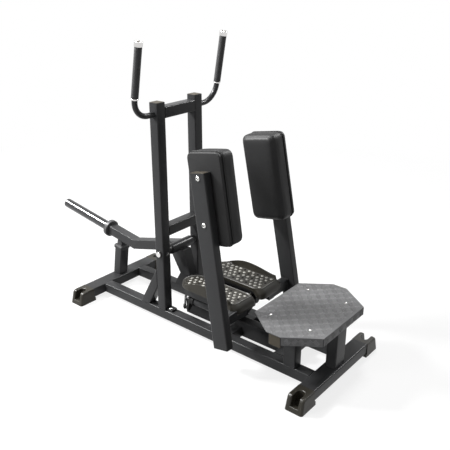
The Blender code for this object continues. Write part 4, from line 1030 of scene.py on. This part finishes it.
def cushion_rings(shrink):
    """Rounded rectangles from the back to the front face: straight sides, a 22 mm chamfer, a flat face.

    The profile is a softened line of depth and inset, so each change of slope rolls over.
    """
    deep = CUSHION_THICK
    line = softened([(0.0, 0.0060), (0.0015, 0.0010), (0.0060, 0.0), (deep - CHAMFER, 0.0),
                     (deep - 0.0015, 0.90 * CHAMFER), (deep, 1.6 * CHAMFER)], 0.007, 6)
    return [pad_ring(pad_outline(inset, max(CORNER - 0.6 * inset, 0.010), 120, 6),
                     -BOARD_THICK - 0.0006 - min(depth, deep - shrink))
            for depth, inset in line + (shrink, shrink)]


cushion_start = skin(cushion_rings(0.0020))
print("cushion starts with", len(cushion_start[0]), "points")

# %% [markdown]
# The cover is remeshed to an even grid, which cloth needs, and then filled with air for 20 frames.
# Left alone the air would also make the flat face lumpy, so the swelling is measured along the
# normals, kept to a few millimetres and evened out between neighbours, as taut vinyl does.

# %% Fill the cushion
VOXEL = 0.004
PRESSURE = 4.0
SWELL = 0.0035
FRAMES = 20


def spread_out(amount, edges, rounds):
    """Each point's number becomes the mean of its own and its neighbours' mean, so many times over."""
    ends = np.concatenate([edges, edges[:, ::-1]])
    neighbours = np.bincount(ends[:, 0], minlength=len(amount))
    for _ in range(rounds):
        around = np.bincount(ends[:, 0], weights=amount[ends[:, 1]], minlength=len(amount))
        amount = (amount + around / neighbours) / 2
    return amount


def read(items, key, width, kind=float):
    """One property of every vertex or edge as rows of an array."""
    values = np.empty(len(items) * width, kind)
    items.foreach_get(key, values)
    return values.reshape(-1, width)


def puffed(name, shape):
    """The closed shape as cloth with air in it, and its points moved out along their normals."""
    cushion = add_object(name, as_mesh(name, shape))
    remesh = cushion.modifiers.new("even grid", "REMESH")
    remesh.mode = "VOXEL"
    remesh.voxel_size = VOXEL
    cushion.data = with_modifiers(cushion)
    cushion.modifiers.clear()
    start = read(cushion.data.vertices, "co", 3)
    normal = read(cushion.data.vertices, "normal", 3)
    edges = read(cushion.data.edges, "vertices", 2, np.int32)
    start = np.stack([spread_out(column, edges, 4) for column in start.T], axis=1)
    cloth = cushion.modifiers.new("cover", "CLOTH")
    cloth.settings.use_pressure = True
    cloth.settings.uniform_pressure_force = PRESSURE
    cloth.settings.effector_weights.gravity = 0.0
    cloth.settings.quality = 6
    cloth.settings.tension_stiffness = 25.0
    cloth.settings.compression_stiffness = 25.0
    cloth.point_cache.frame_start = 1
    cloth.point_cache.frame_end = FRAMES
    for number in range(1, FRAMES + 1):
        scene.frame_set(number)
    graph = bpy.context.evaluated_depsgraph_get()
    move = read(cushion.evaluated_get(graph).data.vertices, "co", 3) - start
    swell = spread_out(np.clip((move * normal).sum(1), 0, SWELL), edges, 30)
    cushion.modifiers.clear()
    scene.frame_set(1)
    print(name, "swells by", round(float(swell.min()), 4), "to", round(float(swell.max()), 4))
    return cushion, start + normal * swell[:, None]


def sink_seam(points):
    """Points near the seam's depth move in by 0.9 mm exp(-(d / 2.5 mm)^2)."""
    depth = -BOARD_THICK - points[:, 0]
    flat = points[:, 1:] - (PAD_SHIFT, 0)
    away = flat - np.clip(flat, CORNER - PAD_HALF, PAD_HALF - CORNER)
    reach = np.linalg.norm(away, axis=1, keepdims=True)
    side = smooth_step(reach[:, 0], 0.45 * CORNER, 0.8 * CORNER)
    sink = 0.0009 * np.exp(-((depth - SEAM) / 0.0025) ** 2) * side
    points[:, 1:] -= away / np.maximum(reach, 1e-9) * sink[:, None]


cushion, cushion_points = puffed("cushion", cushion_start)
sink_seam(cushion_points)
cushion.data.vertices.foreach_set("co", cushion_points.ravel())
cushion.data.update()
finer = cushion.modifiers.new("finer", "SUBSURF")
finer.levels = 1
finer.render_levels = 1
cushion_mesh = with_modifiers(cushion)
bpy.data.objects.remove(cushion)
print("cushion", len(cushion_mesh.vertices), "points")

# %% [markdown]
# Both pads are the same cushion, one of them mirrored. A welt of vinyl runs round the edge where
# the cover meets its board, and two button bolts hold the board to the lever.

# %% Pads, their piping and boards
def mesh_as_shape(mesh):
    """A mesh's points and its quads."""
    corners = read(mesh.loops, "vertex_index", 1, np.int32)
    return read(mesh.vertices, "co", 3), corners.reshape(-1, 4), []


def piping(depth, inset, radius):
    """A thin cord round the pad at a depth, a circle carried round the outline."""
    flat = pad_outline(inset, CORNER - inset * 0.6, 260)
    t = full_turn(10)
    out = flat[:, None] + outward(flat)[:, None] * (radius * np.sin(t))[None, :, None]
    x = np.broadcast_to(-BOARD_THICK - depth + radius * np.cos(t), out.shape[:2])
    return skin(np.stack([x, out[..., 0] + PAD_SHIFT, out[..., 1]], axis=-1), wrap=True)


BOARD_INSET = 0.0045
BOARD_LEVELS = ((-0.0004, 0.0035), (-0.0010, 0.0014), (-0.0030, 0.0), (-0.0145, 0.0), (-0.0165, 0.0010),
                (-0.0180, 0.0030))
board = skin([pad_ring(pad_outline(BOARD_INSET + inset, CORNER - BOARD_INSET, 200), out)
              for out, inset in BOARD_LEVELS])
heads, socket_shades = [], []
for level in (0.840, 0.651):
    seat = (0.040, PAD_SHIFT / 2, (level - PAD_POINT.z) / lever_up.z)
    shank = turned([(0.004, -0.052), (0.004, 0.001)], seat, (1, 0, 0), 20)
    heads += [button_head(seat, (1, 0, 0), 0.0105, 0.0066), shank]
    socket_shades.append(socket_shade_disc(seat, (1, 0, 0), 0.0105, 0.0066))
for label, side in SIDES:
    body = label + "_leg"
    pad = build(label + "_thigh_pad", on_pad(mesh_as_shape(cushion_mesh), side), VINYL, body,
                [label + "_pad_cushion"], 80)
    build(label + "_pad_piping", on_pad(piping(0.0006, 0.0022, 0.0022), side), VINYL, body,
          sharp=80)
    build(label + "_pad_back", on_pad(board, side), BOARD, body, [label + "_pad_board"], 60)
    build(label + "_pad_bolts", on_pad(join(*heads), side), ZINC, body)
    # Near-black discs in the bolts' sockets: painted shade.
    build(label + "_pad_bolt_socket_shade", on_pad(join(*socket_shades), side), SHADOWED, body)

# %% [markdown]
# ## The step
# The step is a sheet of tread plate on a cross tube. Its front edges are folded down, and at each
# corner the folds meet with an open slit, drawn as a near-black slab of painted shade. The tread is
# a repeat of five short bars side by side, turned a quarter from one group to the next; the bars'
# lighter tops are a painted highlight.

# %% Tread on the step's top
STEP_OUTLINE = np.array([(-0.166, -0.556), (-0.2585, -0.683), (-0.2585, -0.752), (-0.161, -0.889),
                         (0.161, -0.889), (0.2585, -0.752), (0.2585, -0.683), (0.166, -0.556)])
STEP_MIDDLE_Y = -0.7225
GROUP_PITCH, BAR_PITCH, BARS = 0.0285, 0.0052, 5


def tread_bar():
    """A lozenge 21 mm long, 2.6 mm wide and 0.9 mm high, its top a smaller lozenge."""
    x, y = on_circle(full_turn(12)).T
    shape = np.column_stack([x, y * (1 - 0.35 * abs(x))])
    levels = ((1.0, 1.0, -0.0004), (0.97, 0.9, 0.0003), (0.9, 0.7, 0.0007), (0.8, 0.4, 0.0009))
    return skin([level_ring(shape * (0.0105 * s, 0.0013 * w), z) for s, w, z in levels])


def tread_groups(centres, odd):
    """Centres and angles of five bars side by side at each centre; odd groups are a quarter turn on."""
    offset = (np.arange(BARS) - BARS // 2) * BAR_PITCH
    angle = np.pi / 4 + odd * np.pi / 2
    across = np.stack([-np.sin(angle), np.cos(angle)], axis=-1)
    places = centres[:, None] + across[:, None] * offset[None, :, None]
    return places.reshape(-1, 2), np.repeat(angle, BARS)


def inside_step(places, margin):
    """True where a place is at least margin inside every edge of the step's outline."""
    edge = np.roll(STEP_OUTLINE, -1, axis=0) - STEP_OUTLINE
    edge /= np.linalg.norm(edge, axis=1, keepdims=True)
    inward = np.stack([-edge[:, 1], edge[:, 0]], axis=1)
    gap = ((places[:, None] - STEP_OUTLINE) * inward).sum(-1)
    return (gap > margin).all(axis=1)


i, j = np.meshgrid(np.arange(-10, 11), np.arange(-7, 8), indexing="ij")
group_centres = np.stack([i * GROUP_PITCH, STEP_MIDDLE_Y + j * GROUP_PITCH], axis=-1).reshape(-1, 2)
bar_places, bar_angles = tread_groups(group_centres, ((i + j) % 2).reshape(-1))
kept = inside_step(bar_places, 0.0085)
for x, y in STEP_BOLTS:
    kept &= np.linalg.norm(bar_places - (x, y), axis=1) > 0.0165
treads = [repeat(tread_bar(), level_ring(bar_places[kept], STEP_TOP), bar_angles[kept])]
print("tread bars on the top", int(kept.sum()))

# %% [markdown]
# The folds carry the same tread, because the pattern was rolled before the sheet was bent. Each fold
# has a frame of its own: along its edge, up, and out of its face.

# %% Tread on the folds
SKIRT = 0.038
for start, end in zip(STEP_OUTLINE[2:5], STEP_OUTLINE[3:6]):
    run = np.append(end - start, 0) / np.linalg.norm(end - start)
    out = np.array([run[1], -run[0], 0])
    middle = np.append((start + end) / 2, STEP_TOP - SKIRT / 2 - 0.001)
    count = int((np.linalg.norm(end - start) - 0.03) / GROUP_PITCH / 2)
    along = np.arange(-count, count + 1) * GROUP_PITCH
    centres = np.column_stack([along, np.zeros(len(along))])
    places, angles = tread_groups(centres, np.arange(len(along)) % 2)
    fold = repeat(tread_bar(), level_ring(places, 0.0), angles)
    treads.append(moved(fold, np.column_stack([run, (0, 0, 1), out, middle])))
build("step_tread", join(*treads), TREAD_HIGHLIGHT, "base")

# %% Open corners and end plugs
# Each corner slit is a thin near-black slab: painted shade where the folds part.
slit_shade_outline = rounded_outline((-0.0013, -0.0013), (0.0013, 0.0013), (0.0004,) * 4, 2)
slit_shade_slabs = [slab(slit_shade_outline + (x * side, y), (STEP_TOP - SKIRT + 0.0003, STEP_TOP - 0.0035))
         for x, y in ((0.1605, -0.8884), (0.2578, -0.7520)) for side in (-1, 1)]
build("step_corner_slit_shade", join(*slit_shade_slabs), SHADOWED, "base")

TUBE_END = np.array([0.2525, -0.722, 0.24735])
PLUG_HALF = np.array([0.0283, 0.0246])
plug_rings = []
for x, inset in ((0.0, 0.0), (0.0022, 0.0), (0.0030, 0.0010), (0.0030, 0.0060)):
    flat = evenly(rounded_outline(-PLUG_HALF + inset, PLUG_HALF - inset, (0.004,) * 4), 64)
    plug_rings.append(np.column_stack([np.full(len(flat), x), flat]) + TUBE_END)
plugs = join(*[on_side(skin(plug_rings), side) for side in (-1, 1)])
build("step_tube_plugs", plugs, PLUG, "base")

# %% [markdown]
# ## Floor and background
# A pale floor and a white world. Camera rays see the floor and the world as white, so the picture
# has a clean white background, and the floor still takes the object's soft shadow. Mirror rays see
# the same white, which is what gives chrome its bright and dark bands.

# %% Floor and world
WHITE = (1, 1, 1, 1)
FLOOR_COLOUR = (0.26, 0.26, 0.26, 1)
FLOOR_REACH = 30.0


def seen_rays(graph):
    """1 for camera, mirror and transmission rays, which should meet the white background."""
    camera_ray, mirror_ray, through_ray = (graph.node("ShaderNodeLightPath", output="Is %s Ray" % kind)
                                           for kind in ("Camera", "Glossy", "Transmission"))
    return camera_ray | mirror_ray | through_ray


def white_world(strength):
    """White to the rays that see it, and dimmer as a light."""
    world = bpy.data.worlds.new("studio")
    graph = Graph(world)
    graph.tree.nodes.clear()
    light, white = (graph.node("ShaderNodeBackground", {}, {"Color": WHITE, "Strength": level})
                    for level in (strength, 1.0))
    surface = graph.node("ShaderNodeMixShader", {}, {0: seen_rays(graph), 1: light, 2: white})
    graph.node("ShaderNodeOutputWorld", {}, {"Surface": surface}, output=None)
    scene.world = world


def pale_floor(glow):
    """Diffuse floor plus a glow that only seeing rays meet; 1.5 m to 3.5 m out it turns to white."""
    material = bpy.data.materials.new("pale_floor")
    graph = Graph(material)
    graph.tree.nodes.clear()
    seen = seen_rays(graph)
    matt = graph.node("ShaderNodeBsdfDiffuse", {}, {"Color": FLOOR_COLOUR})
    lit = graph.node("ShaderNodeEmission", {}, {"Strength": glow * seen})
    near = graph.node("ShaderNodeAddShader", {}, {0: matt, 1: lit})
    place = graph.node("ShaderNodeTexCoord", output="Object")
    length = graph.node("ShaderNodeVectorMath", {"operation": "LENGTH"}, {0: place}, output="Value")
    far = graph.node("ShaderNodeMapRange", {}, {"Value": length, "From Min": 1.5, "From Max": 3.5})
    white = graph.node("ShaderNodeEmission")
    surface = graph.node("ShaderNodeMixShader", {}, {0: far * seen, 1: near, 2: white})
    graph.node("ShaderNodeOutputMaterial", {}, {"Surface": surface}, output=None)
    return material


white_world(0.24)
floor_mesh = bpy.data.meshes.new("floor")
floor_corners = np.array([(-1, -1, 0), (1, -1, 0), (1, 1, 0), (-1, 1, 0)]) * FLOOR_REACH
floor_mesh.from_pydata(floor_corners.tolist(), [], [(0, 1, 2, 3)])
floor_mesh.materials.append(pale_floor(0.80))
floor = add_object("floor", floor_mesh)
floor.location.z = -0.0005
print("floor", 2 * FLOOR_REACH, "m wide")

# %% [markdown]
# ## Lamps
# The picture's light comes from above and from behind the machine: the tops of the tubes are light
# and the sides that face the camera are dark. Three square soft boxes give that, the strongest of
# them behind on the left. Two long narrow boxes are there for reflections alone. A straight rounded
# edge shows a thin light line where it mirrors a lamp, and a lamp as long as the edge gives a line
# all along it.

# %% Lamps
def soft_lamp(name, place, target, size, power):
    """A soft box, length by width, that faces its target; its length lies level."""
    lamp = add_object(name, bpy.data.lights.new(name, "AREA"))
    lamp.data.shape = "RECTANGLE"
    lamp.data.size, lamp.data.size_y = size
    lamp.data.energy = power
    aim(lamp, place, Vector(target) - Vector(place))
    return lamp


soft_lamp("key", (-1.5, 2.35, 3.1), (0, 0, 0.3), (0.6, 0.6), 180)
soft_lamp("overhead", (1.2, 0.2, 3.8), (0, 0, 0.3), (0.9, 0.9), 60)
soft_lamp("left", (-3.2, 0.7, 1.9), (0, -0.1, 0.5), (0.8, 0.8), 34)
strips = [soft_lamp("back strip", (-1.3, 2.0, 3.0), (0, 2.0, 0.3), (3.0, 0.4), 620),
          soft_lamp("right strip", (2.8, -1.0, 2.9), (2.8, 0.5, 0.3), (1.6, 0.4), 220)]
for strip in strips:
    strip.visible_diffuse = False

# %% [markdown]
# ## Colour management
# The Standard view shows each colour about as it is written.

# %% Colour management
scene.view_settings.view_transform = "Standard"
